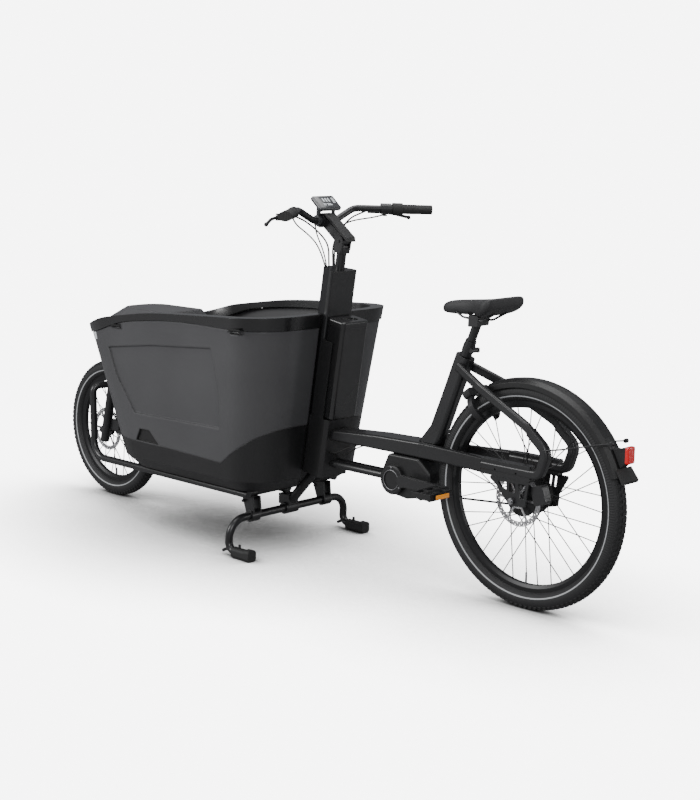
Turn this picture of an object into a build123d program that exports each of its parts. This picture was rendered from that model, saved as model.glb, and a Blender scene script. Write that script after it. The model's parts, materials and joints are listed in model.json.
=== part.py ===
"""Front-loading electric cargo bicycle, built as separate pieces in one frame.

Millimetres, +Z up, ground at z = 0. The bicycle faces -X and its left side is -Y.
x = 0 is half way between the front tyre's nose and the mudflap's tip.
"""
from build123d import *
from math import asin, cos, degrees, radians, sin, sqrt, tan
import os

os.makedirs("parts", exist_ok=True)

# ---------------------------------------------------------------- driving dimensions
wheelbase = 1986
front_tyre_radius = 258
rear_tyre_radius = 334.5
tyre_half_width = 27
tyre_wall = 4.5
bead_half_width = 11.5
tail_reach = 352
running_gap = 0.05
body_gap = 0.5

beam_half_width = 40
beam_bottom_z = 391
beam_top_z = 441
beam_tower_top_z = 425
stay_outer_y = 80
stay_width = 28
stay_height = 46

steer_lean = 9.4
steer_top_z = 940
steer_back = 785
mast_half_width = 57
post_radius = 16
battery_half_width = 57.5
battery_depth = 73
battery_top_z = 777
tower_split_z = 474
tower_bottom_z = 278
tower_depth = 92
stem_length = 103.6
stem_rise = 36.8
stem_pivot_height = 97

bar_radius = 11.1
bar_sleeve_radius = 15.9
bar_half_width = 327
grip_radius = 16
grip_length = 128
bar_end_z = 1127

box_half_width = 316
box_wall = 10
box_front_gap = 94
box_floor_z = 214
box_rim_z = 755
bay_half_width = 115
bay_wall = 8

fork_lean = 14
fork_offset = 45
leg_radius = 17
leg_half_spacing = 60
steerer_radius = 14.3
head_tube_length = 90
fork_travel = 40
hoop_half_width = 200
hoop_radius = 12.5
spar_radius = 20

axle_radius = 6
front_disc_radius = 81
rear_disc_radius = 81
disc_thickness = 1.8
spoke_radius = 1.1
rear_spoke_count = 36
front_spoke_count = 32

crank_back = 425
crank_z = 321
crank_length = 172
crank_inner_y = 75
crank_thick = 13
spindle_radius = 12
motor_half_width = 46
front_pulley_radius = 62
rear_pulley_radius = 40
belt_inner_y = 51
belt_width = 11
belt_thickness = 4
belt_gap = 0.4
pedal_length = 96
pedal_width = 82

seat_tube_lean = 22.3
seatpost_lean = 22.8
seat_top_back = 250
seat_top_z = 722
seatpost_radius = 13.6
seatpost_length = 250

fender_radius = 350
fender_half_width = 33
fender_thickness = 2

stand_back = 1017
stand_z = 120
stand_tube_radius = 13
stand_half_width = 266
foot_length = 116
foot_radius = 17

# ---------------------------------------------------------------- derived places
rear_axle_x = (wheelbase + front_tyre_radius - tail_reach) / 2
front_axle_x = rear_axle_x - wheelbase
rear_axle = (rear_axle_x, 0, rear_tyre_radius)
front_axle = (front_axle_x, 0, front_tyre_radius)
lean = radians(steer_lean)


def ahead(distance):
    """The x that lies this far in front of the rear axle."""
    return rear_axle_x - distance


def tower_rear_x(z):
    """x of the tower's leaning rear face at this height."""
    return ahead(steer_back) + tower_depth / cos(lean) + (z - steer_top_z) * tan(lean)


def save(piece, name):
    """Label a finished piece and write its STEP file."""
    piece.part.label = name
    export_step(piece.part, f"parts/{name}.step")


def side_plane(y=0):
    """Side view plane at this y: local x runs rearwards and local y runs up."""
    return Plane(origin=(0, y, 0), x_dir=(1, 0, 0), z_dir=(0, -1, 0))


def both_sides():
    """Copy the piece being built to the other side of the bicycle."""
    mirror(about=Plane.XZ)


def add_rod(start, end, radius, mode=Mode.ADD):
    """A straight round rod between two points."""
    reach = Vector(*end) - Vector(*start)
    with BuildSketch(Plane(origin=start, z_dir=reach)) as section:
        Circle(radius)
    extrude(section.sketch, amount=reach.length, mode=mode)


def add_cross_rod(x, z, y_start, y_end, radius, mode=Mode.ADD):
    """A round rod along Y, at this x and z."""
    add_rod((x, y_start, z), (x, y_end, z), radius, mode)


def add_tube(points, bend_radius, radius, bore=0):
    """A bent round tube, its straight runs joined by tangent arcs."""
    with BuildLine() as route:
        FilletPolyline(*points, radius=bend_radius)
    start = route.line @ 0
    with BuildSketch(Plane(origin=start, z_dir=route.line % 0)) as section:
        Circle(radius)
        if bore:
            Circle(bore, mode=Mode.SUBTRACT)
    sweep(section.sketch, path=route.line)


def add_side_plate(points, y_start, y_end, corner=0, mode=Mode.ADD):
    """A flat plate seen from the side, between two y positions."""
    with BuildSketch(side_plane(y_start)) as outline:
        with BuildLine():
            Polyline(*points, close=True)
        make_face()
        if corner:
            fillet(outline.vertices(), corner)
    extrude(outline.sketch, amount=y_start - y_end, mode=mode)


# ---------------------------------------------------------------- wheels
def wheel_plane(axle):
    """Half section plane of a wheel: local x runs along the axle, local y outwards."""
    return Plane(origin=axle, x_dir=(0, 1, 0), z_dir=(1, 0, 0))


def build_tyre(axle, tyre_radius, name):
    centre = tyre_radius - tyre_half_width
    with BuildPart() as tyre:
        with BuildSketch(wheel_plane(axle)):
            with Locations((0, centre)):
                Circle(tyre_half_width)
                Circle(tyre_half_width - tyre_wall, mode=Mode.SUBTRACT)
            with Locations((0, centre - tyre_half_width)):
                Rectangle(2 * bead_half_width, tyre_half_width, mode=Mode.SUBTRACT)
        revolve(axis=Axis(axle, (0, 1, 0)))
    save(tyre, name)


rim_half_width = bead_half_width - 0.3


def rim_radii(tyre_radius):
    """Flange, seat, well and inner radii of the rim that carries a tyre."""
    bead = tyre_radius - 2 * tyre_half_width
    return bead + 6.5, bead - 1, bead - 5, bead - 18.5


def build_rim(axle, tyre_radius, name):
    flange, seat, well, inner = rim_radii(tyre_radius)
    with BuildPart() as rim:
        with BuildSketch(wheel_plane(axle)):
            with BuildLine():
                edge = Polyline(
                    (0, well), (5, well), (9, seat), (9.2, flange), (rim_half_width, flange),
                    (rim_half_width, well - 4), (7, inner), (0, inner),
                )
                mirror(edge, about=Plane.YZ)
            make_face()
        revolve(axis=Axis(axle, (0, 1, 0)))
    save(rim, name)


def build_hub(axle, profile, name):
    """A hub turned from its half profile, bored for the axle to run in."""
    left_end = profile[0][0]
    right_end = profile[-1][0]
    bore = axle_radius + running_gap
    with BuildPart() as hub:
        with BuildSketch(wheel_plane(axle)):
            with BuildLine():
                Polyline((left_end, bore), *profile, (right_end, bore), close=True)
            make_face()
        revolve(axis=Axis(axle, (0, 1, 0)))
    save(hub, name)


def build_disc(axle, y, radius, boss_radius, name):
    """A brake disc with six curved-in arms and two rings of drilled holes."""
    track = 15
    carrier = boss_radius + 6
    with BuildPart() as disc:
        plane = Plane(origin=(axle[0], y, axle[2]), x_dir=(1, 0, 0), z_dir=(0, -1, 0))
        with BuildSketch(plane):
            Circle(radius)
            Circle(radius - track, mode=Mode.SUBTRACT)
            with PolarLocations((radius - track + carrier) / 2, 6):
                Rectangle(radius - track - carrier + 6, 7)
            Circle(carrier)
            Circle(boss_radius - 5, mode=Mode.SUBTRACT)
            with PolarLocations(radius - 4.5, 30):
                Circle(1.8, mode=Mode.SUBTRACT)
            with PolarLocations(radius - 10.5, 30, start_angle=6):
                Circle(1.8, mode=Mode.SUBTRACT)
        extrude(amount=disc_thickness)
    save(disc, name)


def build_spokes(axle, tyre_radius, flange_radius, flange_y, count, name):
    """Crossed spokes from two hub flanges to the rim, one solid each."""
    rim_inner = rim_radii(tyre_radius)[3]
    step = 360 / count
    lead = 42
    with BuildPart() as spokes:
        for index in range(count):
            side = 1 if index % 2 else -1
            twist = lead if index % 4 < 2 else -lead
            rim_angle = radians(index * step)
            hub_angle = radians(index * step + twist)
            hub_end = (
                axle[0] + (flange_radius - 0.5) * cos(hub_angle),
                side * flange_y,
                axle[2] + (flange_radius - 0.5) * sin(hub_angle),
            )
            rim_end = (
                axle[0] + (rim_inner + 1) * cos(rim_angle),
                side * 3,
                axle[2] + (rim_inner + 1) * sin(rim_angle),
            )
            add_rod(hub_end, rim_end, spoke_radius)
    save(spokes, name)


rear_flange_radius = 54
rear_flange_y = 31
rear_boss_radius = 22
rear_disc_y = -48
front_flange_radius = 27
front_flange_y = 26
front_boss_radius = 20
front_disc_y = -37

build_tyre(rear_axle, rear_tyre_radius, "rear_tyre")
build_rim(rear_axle, rear_tyre_radius, "rear_rim")
build_spokes(
    rear_axle, rear_tyre_radius, rear_flange_radius, rear_flange_y, rear_spoke_count, "rear_spokes"
)
build_hub(
    rear_axle,
    [
        (-64, 14), (-58, 14), (-58, rear_boss_radius - 6), (rear_disc_y, rear_boss_radius - 6),
        (rear_disc_y, rear_boss_radius), (-38, rear_boss_radius), (-34, 40),
        (-34, rear_flange_radius), (-28, rear_flange_radius), (-26, 49), (26, 49),
        (28, rear_flange_radius), (34, rear_flange_radius), (34, 40), (38, 24), (49, 24),
    ],
    "rear_hub",
)
build_disc(rear_axle, rear_disc_y, rear_disc_radius, rear_boss_radius, "rear_disc")

build_tyre(front_axle, front_tyre_radius, "front_tyre")
build_rim(front_axle, front_tyre_radius, "front_rim")
build_spokes(
    front_axle, front_tyre_radius, front_flange_radius, front_flange_y, front_spoke_count,
    "front_spokes",
)
build_hub(
    front_axle,
    [
        (-49, 12), (-40, 12), (-40, front_boss_radius - 6), (front_disc_y, front_boss_radius - 6),
        (front_disc_y, front_boss_radius), (-30, front_boss_radius),
        (-29, front_flange_radius), (-24, front_flange_radius), (-22, 16), (22, 16),
        (24, front_flange_radius), (29, front_flange_radius), (32, 14), (49, 12),
    ],
    "front_hub",
)
build_disc(front_axle, front_disc_y, front_disc_radius, front_boss_radius, "front_disc")

# ---------------------------------------------------------------- rear frame
yoke_x = ahead(400)
joint_x = ahead(118)
chainstay_width = 17

# The chassis beam: a rounded box from the tower to the yoke in front of the rear wheel.
with BuildPart() as main_beam:
    add_side_plate(
        [
            (tower_rear_x(beam_bottom_z) + body_gap, beam_bottom_z),
            (yoke_x, beam_bottom_z + 1), (yoke_x, beam_top_z), (ahead(581), beam_top_z - 4),
            (tower_rear_x(beam_tower_top_z) + body_gap, beam_tower_top_z),
        ],
        beam_half_width, -beam_half_width,
    )
    long_edges = main_beam.edges().filter_by(lambda edge: abs(edge.tangent_at(0.5).X) > 0.9)
    fillet(long_edges, 7)
save(main_beam, "main_beam")


def chainstay_section(x, outer_y, width, low_z, high_z):
    """Upright rounded rectangle across the chainstay at this x."""
    centre = (x, outer_y - width / 2, (low_z + high_z) / 2)
    return Plane(origin=centre, x_dir=(0, 1, 0), z_dir=(1, 0, 0)), width, high_z - low_z


# Two chainstays that spread from the beam round the tyre.
chainstay_stations = [
    chainstay_section(yoke_x, beam_half_width, chainstay_width, beam_bottom_z + 1, beam_top_z),
    chainstay_section(ahead(276), 53, chainstay_width, beam_bottom_z + 4, beam_top_z + 1),
    chainstay_section(
        joint_x, stay_outer_y - 1, stay_width - 2, beam_bottom_z + 7, beam_top_z + 3
    ),
]
with BuildPart() as chainstays:
    for plane, width, height in chainstay_stations:
        with BuildSketch(plane):
            RectangleRounded(width, height, 6)
    loft()
    both_sides()
save(chainstays, "chainstays")

# Cast loops that carry the dropouts and turn up into the seatstays.
loop_low_z = beam_bottom_z + 7
loop_high_z = beam_top_z + 3
loop_tube = 30
rack_boss_spacing = 77
rack_boss_radius = 3
rack_boss_x = ahead(25.5)
rack_boss_z = 417
stay_joint_x = rear_axle_x + 52
stay_joint_z = 543
stay_lean = 44
stay_direction = (-cos(radians(stay_lean)), sin(radians(stay_lean)))
with BuildPart() as stay_loops:
    with BuildLine() as loop_path:
        FilletPolyline(
            (joint_x + 0.6, -stay_outer_y + stay_width / 2, (loop_low_z + loop_high_z) / 2),
            (rear_axle_x + 88, -stay_outer_y + stay_width / 2, (loop_low_z + loop_high_z) / 2),
            (rear_axle_x + 112, -stay_outer_y + stay_width / 2, 492),
            (
                stay_joint_x + 0.5, -stay_outer_y + stay_width / 2, stay_joint_z - 0.5,
            ),
            radius=[26, 34],
        )
    loop_start = Plane(origin=loop_path.line @ 0, x_dir=(0, 1, 0), z_dir=loop_path.line % 0)
    with BuildSketch(loop_start):
        RectangleRounded(stay_width, loop_tube, 9)
    sweep()
    add_side_plate(
        [
            (joint_x + 0.6, loop_low_z), (rear_axle_x + 62, loop_low_z),
            (rear_axle_x + 62, loop_high_z), (joint_x + 0.6, loop_high_z),
        ],
        -stay_outer_y + stay_width - 2, -stay_outer_y + 1,
    )
    for side in (-1, 1):
        add_cross_rod(
            rack_boss_x + side * rack_boss_spacing / 2, rack_boss_z, -stay_outer_y - 5,
            -stay_outer_y + 15, rack_boss_radius, Mode.SUBTRACT,
        )
    both_sides()
save(stay_loops, "stay_loops")

# The seat tube leans back and flares forward where it meets the beam.
seat_top = (ahead(seat_top_back), 0, seat_top_z)
seat_direction = (sin(radians(seat_tube_lean)), 0, cos(radians(seat_tube_lean)))
seat_tube_length = (seat_top_z - beam_top_z - 1) / cos(radians(seat_tube_lean))
post_direction = (sin(radians(seatpost_lean)), 0, cos(radians(seatpost_lean)))
collar_length = 52


def along(start, direction, distance):
    """The point this far from start in a direction."""
    return tuple(place + distance * step for place, step in zip(start, direction))


seat_base = along(seat_top, seat_direction, -seat_tube_length)
with BuildPart() as seat_tube:
    tube_stations = [(0, 54, 44), (-150, 54, 42), (-seat_tube_length + 48, 56, 42)]
    for distance, depth, width in tube_stations:
        centre = along(seat_top, seat_direction, distance)
        with BuildSketch(Plane(origin=centre, x_dir=(0, 1, 0), z_dir=seat_direction)):
            RectangleRounded(width, depth, 13)
    with BuildSketch(Plane(origin=(seat_base[0] - 11, 0, beam_top_z + body_gap), x_dir=(0, 1, 0))):
        RectangleRounded(50, 84, 16)
    loft(ruled=True)
    add_rod(
        along(seat_top, post_direction, -170), along(seat_top, post_direction, 40),
        seatpost_radius + running_gap, Mode.SUBTRACT,
    )
save(seat_tube, "seat_tube")

# Seatstays: upright flat bars from the cast loops to the seat tube.
stay_top_y = 22
stay_top_x = ahead(256)
stay_top_z = 691
with BuildPart() as seatstays:
    with BuildLine() as stay_path:
        FilletPolyline(
            (stay_joint_x, -stay_outer_y + stay_width / 2, stay_joint_z),
            (stay_joint_x - 14, -stay_outer_y + stay_width / 2, stay_joint_z + 12),
            (ahead(150), -56, 646),
            (stay_top_x, -stay_top_y - 4, stay_top_z),
            radius=[60, 120],
        )
    with BuildSketch(
        Plane(origin=stay_path.line @ 0, x_dir=(0, 1, 0), z_dir=stay_path.line % 0)
    ):
        RectangleRounded(18, 27, 6)
    sweep()
    both_sides()
    add(seat_tube.part, mode=Mode.SUBTRACT)
save(seatstays, "seatstays")

# Dropout plates: windows in the left one, a deeper belt-side plate on the right.
plate_outer_y = 77
plate_thickness = 7
with BuildPart() as dropouts:
    add_side_plate(
        [
            (ahead(97), loop_low_z - 0.5), (rear_axle_x + 60, loop_low_z - 0.5),
            (rear_axle_x + 46, 322), (rear_axle_x - 10, 318), (ahead(60), 372),
        ],
        -plate_outer_y, -plate_outer_y + plate_thickness, corner=6,
    )
    for window in (
        [(ahead(58), 386), (ahead(22), 386), (ahead(22), 362), (ahead(38), 366)],
        [(ahead(12), 386), (rear_axle_x + 10, 386), (rear_axle_x + 10, 358), (ahead(12), 358)],
        [
            (rear_axle_x + 20, 388), (rear_axle_x + 48, 388), (rear_axle_x + 40, 344),
            (rear_axle_x + 26, 344),
        ],
    ):
        add_side_plate(
            window, -plate_outer_y - 1, -plate_outer_y + plate_thickness + 1, 4, Mode.SUBTRACT
        )
    add_side_plate(
        [
            (ahead(70), loop_low_z - 0.5),
            (rear_axle_x + 86, loop_low_z - 0.5), (rear_axle_x + 86, 390),
            (rear_axle_x + 56, 340),
            (rear_axle_x + 52, 302), (rear_axle_x + 10, 292), (rear_axle_x - 26, 312),
        ],
        plate_outer_y - plate_thickness, plate_outer_y, corner=5,
    )
    for slot_x in (rear_axle_x + 26, rear_axle_x + 44):
        add_side_plate(
            [(slot_x - 5, 392), (slot_x + 5, 392), (slot_x + 1, 358), (slot_x - 9, 358)],
            plate_outer_y - plate_thickness - 1, plate_outer_y + 1, 3, Mode.SUBTRACT,
        )
    add_cross_rod(
        rear_axle_x, rear_tyre_radius, -plate_outer_y - 1, plate_outer_y + 1,
        axle_radius, Mode.SUBTRACT,
    )
save(dropouts, "dropouts")

# Rear axle with its hexagon nuts outside the dropouts.
with BuildPart() as rear_axle_set:
    add_cross_rod(rear_axle_x, rear_tyre_radius, -90, 90, axle_radius)
    for start, end in ((-86, -plate_outer_y), (plate_outer_y, 86)):
        plane = Plane(origin=(rear_axle_x, start, rear_tyre_radius), z_dir=(0, 1, 0))
        with BuildSketch(plane) as nut:
            RegularPolygon(10.5, 6)
        extrude(nut.sketch, amount=end - start)
save(rear_axle_set, "rear_axle")

# ---------------------------------------------------------------- motor and drive
crank_x = ahead(crank_back)
motor_front_x = ahead(545)
motor_rear_x = ahead(345)
with BuildPart() as motor_housing:
    with BuildSketch(side_plane(-motor_half_width)) as motor_side:
        with BuildLine():
            Polyline(
                (ahead(520), beam_bottom_z - 1), (ahead(396), beam_bottom_z - 1),
                (motor_rear_x, 350), (motor_rear_x, 318), (ahead(384), 268),
                (ahead(440), 256), (ahead(500), 262), (motor_front_x, 300),
                (motor_front_x, 336), close=True,
            )
        make_face()
        fillet(motor_side.vertices(), 16)
    extrude(amount=-2 * motor_half_width)
    fillet(motor_housing.faces().filter_by(Axis.Y).edges(), 7)
    add_cross_rod(
        crank_x, crank_z, -motor_half_width - 1, motor_half_width + 1,
        spindle_radius + running_gap, Mode.SUBTRACT,
    )
save(motor_housing, "motor_housing")

cover_x = ahead(492)
cover_z = 311
cover_radius = 47
with BuildPart() as motor_cover:
    add_cross_rod(cover_x, cover_z, -motor_half_width - 15, -motor_half_width, cover_radius)
    rim_edges = motor_cover.edges().filter_by(GeomType.CIRCLE).sort_by(Axis.Y)[0]
    fillet(rim_edges, 5)
    add_cross_rod(
        cover_x, cover_z, -motor_half_width - 16, -motor_half_width - 12, 33, Mode.SUBTRACT
    )
    add_cross_rod(
        crank_x, crank_z, -motor_half_width - 16, -motor_half_width + 1, 24, Mode.SUBTRACT
    )
save(motor_cover, "motor_cover")

# Crankset: spindle, both arms, the pedal spindles and the belt pulley on its spider.
crank_outer_y = crank_inner_y + crank_thick
pedal_spindle_radius = 6
pedal_start_y = crank_outer_y + 6
pedal_end_y = pedal_start_y + pedal_length
left_pedal_x = crank_x + crank_length
right_pedal_x = crank_x - crank_length
with BuildPart() as crankset:
    add_cross_rod(crank_x, crank_z, -crank_outer_y, crank_outer_y, spindle_radius)
    for side, pedal_x in ((-1, left_pedal_x), (1, right_pedal_x)):
        face_y = side * crank_inner_y
        with BuildSketch(side_plane(face_y)) as arm:
            with Locations((crank_x, crank_z)):
                Circle(19)
            with Locations((pedal_x, crank_z)):
                Circle(14)
            with BuildLine():
                reach = 1 if pedal_x > crank_x else -1
                Polyline(
                    (crank_x, crank_z + 17), (pedal_x - reach * 6, crank_z + 13),
                    (pedal_x - reach * 6, crank_z - 13), (crank_x, crank_z - 17), close=True,
                )
            make_face()
        extrude(arm.sketch, amount=-side * crank_thick)
        add_cross_rod(
            pedal_x, crank_z, side * (crank_outer_y - 1), side * (pedal_end_y - 6),
            pedal_spindle_radius,
        )
    pulley_plane = side_plane(belt_inner_y + belt_width)
    with BuildSketch(pulley_plane) as pulley:
        with Locations((crank_x, crank_z)):
            Circle(front_pulley_radius)
            Circle(front_pulley_radius - 12, mode=Mode.SUBTRACT)
            with PolarLocations(front_pulley_radius / 2, 4, start_angle=45):
                Rectangle(front_pulley_radius - 12, 14)
            Circle(24)
    extrude(pulley.sketch, amount=belt_width)
    add_cross_rod(crank_x, crank_z, belt_inner_y + belt_width - 1, crank_inner_y + 1, 20)
save(crankset, "crankset")


def build_pedal(side, centre_x, name):
    """A platform pedal that runs on its spindle, with a reflector on each long edge."""
    bore = pedal_spindle_radius + running_gap
    start = side * pedal_start_y
    length = side * pedal_length
    with BuildPart() as pedal:
        with BuildSketch(side_plane(start)) as core:
            with Locations((centre_x, crank_z)):
                Circle(12)
        extrude(core.sketch, amount=-length)
        for bar_x in (-pedal_width / 2 + 7, pedal_width / 2 - 7):
            with BuildSketch(side_plane(start)) as bar:
                with Locations((centre_x + bar_x, crank_z)):
                    RectangleRounded(10, 22, 3)
            extrude(bar.sketch, amount=-length)
        for cross in (0, 0.44, 0.88):
            with BuildSketch(side_plane(start + cross * length)) as web:
                with Locations((centre_x, crank_z)):
                    RectangleRounded(pedal_width - 6, 18, 4)
            extrude(web.sketch, amount=-0.12 * length)
        for edge in (-1, 1):
            with BuildSketch(side_plane(start + 0.2 * length)) as reflector:
                with Locations((centre_x + edge * (pedal_width / 2 + 1), crank_z)):
                    Rectangle(4, 14)
            extrude(reflector.sketch, amount=-0.6 * length)
        add_cross_rod(
            centre_x, crank_z, start - side, start + length - side * 4, bore, Mode.SUBTRACT
        )
    save(pedal, name)


build_pedal(-1, left_pedal_x, "left_pedal")
build_pedal(1, right_pedal_x, "right_pedal")

with BuildPart() as rear_pulley:
    add_cross_rod(
        rear_axle_x, rear_tyre_radius, belt_inner_y, belt_inner_y + belt_width,
        rear_pulley_radius,
    )
    add_cross_rod(
        rear_axle_x, rear_tyre_radius, belt_inner_y - 1, belt_inner_y + belt_width + 1,
        axle_radius + running_gap, Mode.SUBTRACT,
    )
save(rear_pulley, "rear_pulley")


def add_belt_loop(clearance, thick, mode):
    """The closed area round both pulleys, pulled tight at this clearance."""
    front_r = front_pulley_radius + clearance
    rear_r = rear_pulley_radius + clearance
    run_x = rear_axle_x - crank_x
    run_z = rear_tyre_radius - crank_z
    tilt = degrees(asin((front_r - rear_r) / sqrt(run_x**2 + run_z**2)))
    slope = degrees(asin(run_z / sqrt(run_x**2 + run_z**2)))
    upper = radians(90 + slope - tilt)
    lower = radians(-90 + slope + tilt)
    with BuildSketch(side_plane(belt_inner_y + belt_width)) as loop:
        with Locations((crank_x, crank_z)):
            Circle(front_r)
        with Locations((rear_axle_x, rear_tyre_radius)):
            Circle(rear_r)
        with BuildLine():
            Polyline(
                (crank_x + front_r * cos(upper), crank_z + front_r * sin(upper)),
                (rear_axle_x + rear_r * cos(upper), rear_tyre_radius + rear_r * sin(upper)),
                (rear_axle_x + rear_r * cos(lower), rear_tyre_radius + rear_r * sin(lower)),
                (crank_x + front_r * cos(lower), crank_z + front_r * sin(lower)),
                close=True,
            )
        make_face()
    extrude(loop.sketch, amount=thick, mode=mode)


with BuildPart() as drive_belt:
    add_belt_loop(belt_gap + belt_thickness, belt_width, Mode.ADD)
    add_belt_loop(belt_gap, belt_width, Mode.SUBTRACT)
save(drive_belt, "drive_belt")

# ---------------------------------------------------------------- mast, tower and battery
steer_direction = (sin(lean), 0, cos(lean))
steer_origin = (ahead(steer_back), 0, steer_top_z)


def steer_plane(height=0):
    """Plane across the steering axis: local x runs rearwards, local y to the right."""
    origin = along(steer_origin, steer_direction, height)
    return Plane(origin=origin, x_dir=(cos(lean), 0, -sin(lean)), z_dir=steer_direction)


def height_on_mast(z):
    """Distance along the steering axis from the mast's top to this z."""
    return (z - steer_top_z) / cos(lean)


mast_rear = 25
mast_nose = 50
mast_shoulder = 10
mast_low = height_on_mast(tower_split_z)
mast_high = 4


def mast_outline():
    """Mast section: a flat rear, short straight sides and a tapering round nose."""
    with BuildSketch(steer_plane()) as outline:
        with BuildLine():
            Polyline(
                (mast_rear, -mast_half_width), (mast_rear, mast_half_width),
                (mast_shoulder, mast_half_width), (-mast_nose, 26), (-mast_nose, -26),
                (mast_shoulder, -mast_half_width), close=True,
            )
        make_face()
        fillet(outline.vertices().group_by(Axis.X)[0], 14)
        fillet(outline.vertices().group_by(Axis.X)[-1], 6)
    return outline.sketch


with BuildPart() as mast:
    lowered = mast_outline().moved(Location(Vector(*steer_direction) * mast_low))
    extrude(lowered, amount=mast_high - mast_low)
    add_rod(
        along(steer_origin, steer_direction, -130), along(steer_origin, steer_direction, 20),
        post_radius + running_gap, Mode.SUBTRACT,
    )
save(mast, "mast")

battery_start = mast_rear + 6
battery_low = mast_low + 6
battery_high = height_on_mast(battery_top_z)
cap_height = 22
battery_width = 2 * battery_half_width
with BuildPart() as battery:
    with BuildSketch(steer_plane(battery_low)):
        with Locations((battery_start + battery_depth / 2, 0)):
            RectangleRounded(battery_depth, battery_width, 12)
    extrude(amount=battery_high - battery_low)
    with BuildSketch(steer_plane(battery_high)):
        with Locations((battery_start + battery_depth / 2, 0)):
            RectangleRounded(battery_depth + 2, battery_width + 2, 13)
    extrude(amount=cap_height)
    cap_top = battery.faces().sort_by(Axis.Z)[-1]
    fillet(cap_top.edges(), 6)
    with BuildSketch(steer_plane(battery_high + cap_height)):
        with Locations((battery_start + battery_depth * 0.55, 0)):
            SlotOverall(64, 30, rotation=90)
    extrude(amount=-5, mode=Mode.SUBTRACT)
save(battery, "battery")

dock_wall = 4.5
dock_gap = 1.2
dock_high = height_on_mast(726)
tower_low = height_on_mast(tower_bottom_z)
with BuildPart() as tower_housing:
    with BuildSketch(steer_plane(tower_low)):
        with BuildLine():
            half = battery_half_width + dock_gap + dock_wall
            Polyline(
                (tower_depth, -half + 8), (tower_depth, half - 8), (tower_depth - 14, half),
                (mast_shoulder, half), (-mast_nose, 28), (-mast_nose, -28), (mast_shoulder, -half),
                (tower_depth - 14, -half), close=True,
            )
        make_face()
    extrude(amount=mast_low - 0.5 - tower_low)
    with BuildSketch(steer_plane(mast_low - 1)):
        wing_depth = 43
        with Locations((mast_rear + body_gap + wing_depth / 2, 0)):
            Rectangle(wing_depth, 2 * half)
        with Locations((mast_rear + body_gap + dock_wall + wing_depth / 2, 0)):
            Rectangle(wing_depth, 2 * half - 2 * dock_wall, mode=Mode.SUBTRACT)
    extrude(amount=dock_high - mast_low + 1)
save(tower_housing, "tower_housing")

# Twin lower tubes that tie the tower's foot to the motor mount.
lower_tube_z = 309
lower_tube_radius = 13
lower_tube_x = tower_rear_x(lower_tube_z + lower_tube_radius) + body_gap
with BuildPart() as lower_tubes:
    for side in (-1, 1):
        add_rod(
            (lower_tube_x, side * 15, lower_tube_z), (motor_front_x - 0.5, side * 15, lower_tube_z),
            lower_tube_radius,
        )
save(lower_tubes, "lower_tubes")

# ---------------------------------------------------------------- cockpit
pivot = along(steer_origin, steer_direction, stem_pivot_height)
pivot_bolt_radius = 5
lug_inner_y = 14
lug_outer_y = 21
with BuildPart() as steering_post:
    add_rod(
        along(steer_origin, steer_direction, -110), along(pivot, steer_direction, -34),
        post_radius,
    )
    with BuildSketch(steer_plane(stem_pivot_height - 38)) as shoulder:
        RectangleRounded(38, 2 * lug_outer_y, 8)
    extrude(shoulder.sketch, amount=16)
    for side in (-1, 1):
        with BuildSketch(side_plane(side * lug_inner_y)) as lug:
            with Locations((pivot[0], pivot[2])):
                Circle(18)
            with BuildLine():
                foot = along(pivot, steer_direction, -30)
                Polyline(
                    (pivot[0] - 18, pivot[2]), (pivot[0] + 18, pivot[2]),
                    (foot[0] + 17, foot[2]), (foot[0] - 17, foot[2]), close=True,
                )
            make_face()
        extrude(lug.sketch, amount=-side * (lug_outer_y - lug_inner_y))
    add_cross_rod(pivot[0], pivot[2], -lug_outer_y - 3, lug_outer_y + 3, pivot_bolt_radius)
save(steering_post, "steering_post")

clamp_centre = (
    pivot[0] - stem_length * cos(radians(stem_rise)), 0,
    pivot[2] + stem_length * sin(radians(stem_rise)),
)
stem_along = (-cos(radians(stem_rise)), 0, sin(radians(stem_rise)))
stem_up = (sin(radians(stem_rise)), 0, cos(radians(stem_rise)))
stem_half_width = lug_inner_y - 0.5


def on_stem(forward, up):
    """Side view point measured from the stem's pivot, along and across the stem."""
    return (
        pivot[0] + forward * stem_along[0] + up * stem_up[0],
        pivot[2] + forward * stem_along[2] + up * stem_up[2],
    )


with BuildPart() as stem:
    add_side_plate(
        [on_stem(0, 16), on_stem(stem_length, 15), on_stem(stem_length, -13), on_stem(0, -16)],
        stem_half_width, -stem_half_width,
    )
    add_cross_rod(pivot[0], pivot[2], -stem_half_width, stem_half_width, 16.5)
    add_cross_rod(clamp_centre[0], clamp_centre[2], -24, 24, 23)
    add_cross_rod(
        pivot[0], pivot[2], -stem_half_width - 1, stem_half_width + 1,
        pivot_bolt_radius + running_gap, Mode.SUBTRACT,
    )
    add_cross_rod(
        clamp_centre[0], clamp_centre[2], -25, 25, bar_sleeve_radius + 0.02, Mode.SUBTRACT
    )
save(stem, "stem")

cover_half_width = 20
with BuildPart() as stem_cover:
    add_side_plate(
        [
            on_stem(-30, 20), on_stem(-20, 30), on_stem(60, 31), on_stem(stem_length - 4, 33),
            on_stem(stem_length - 4, 24.5), on_stem(60, 22), on_stem(-20, 20.5),
        ],
        cover_half_width, -cover_half_width,
    )
save(stem_cover, "stem_cover")

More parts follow.
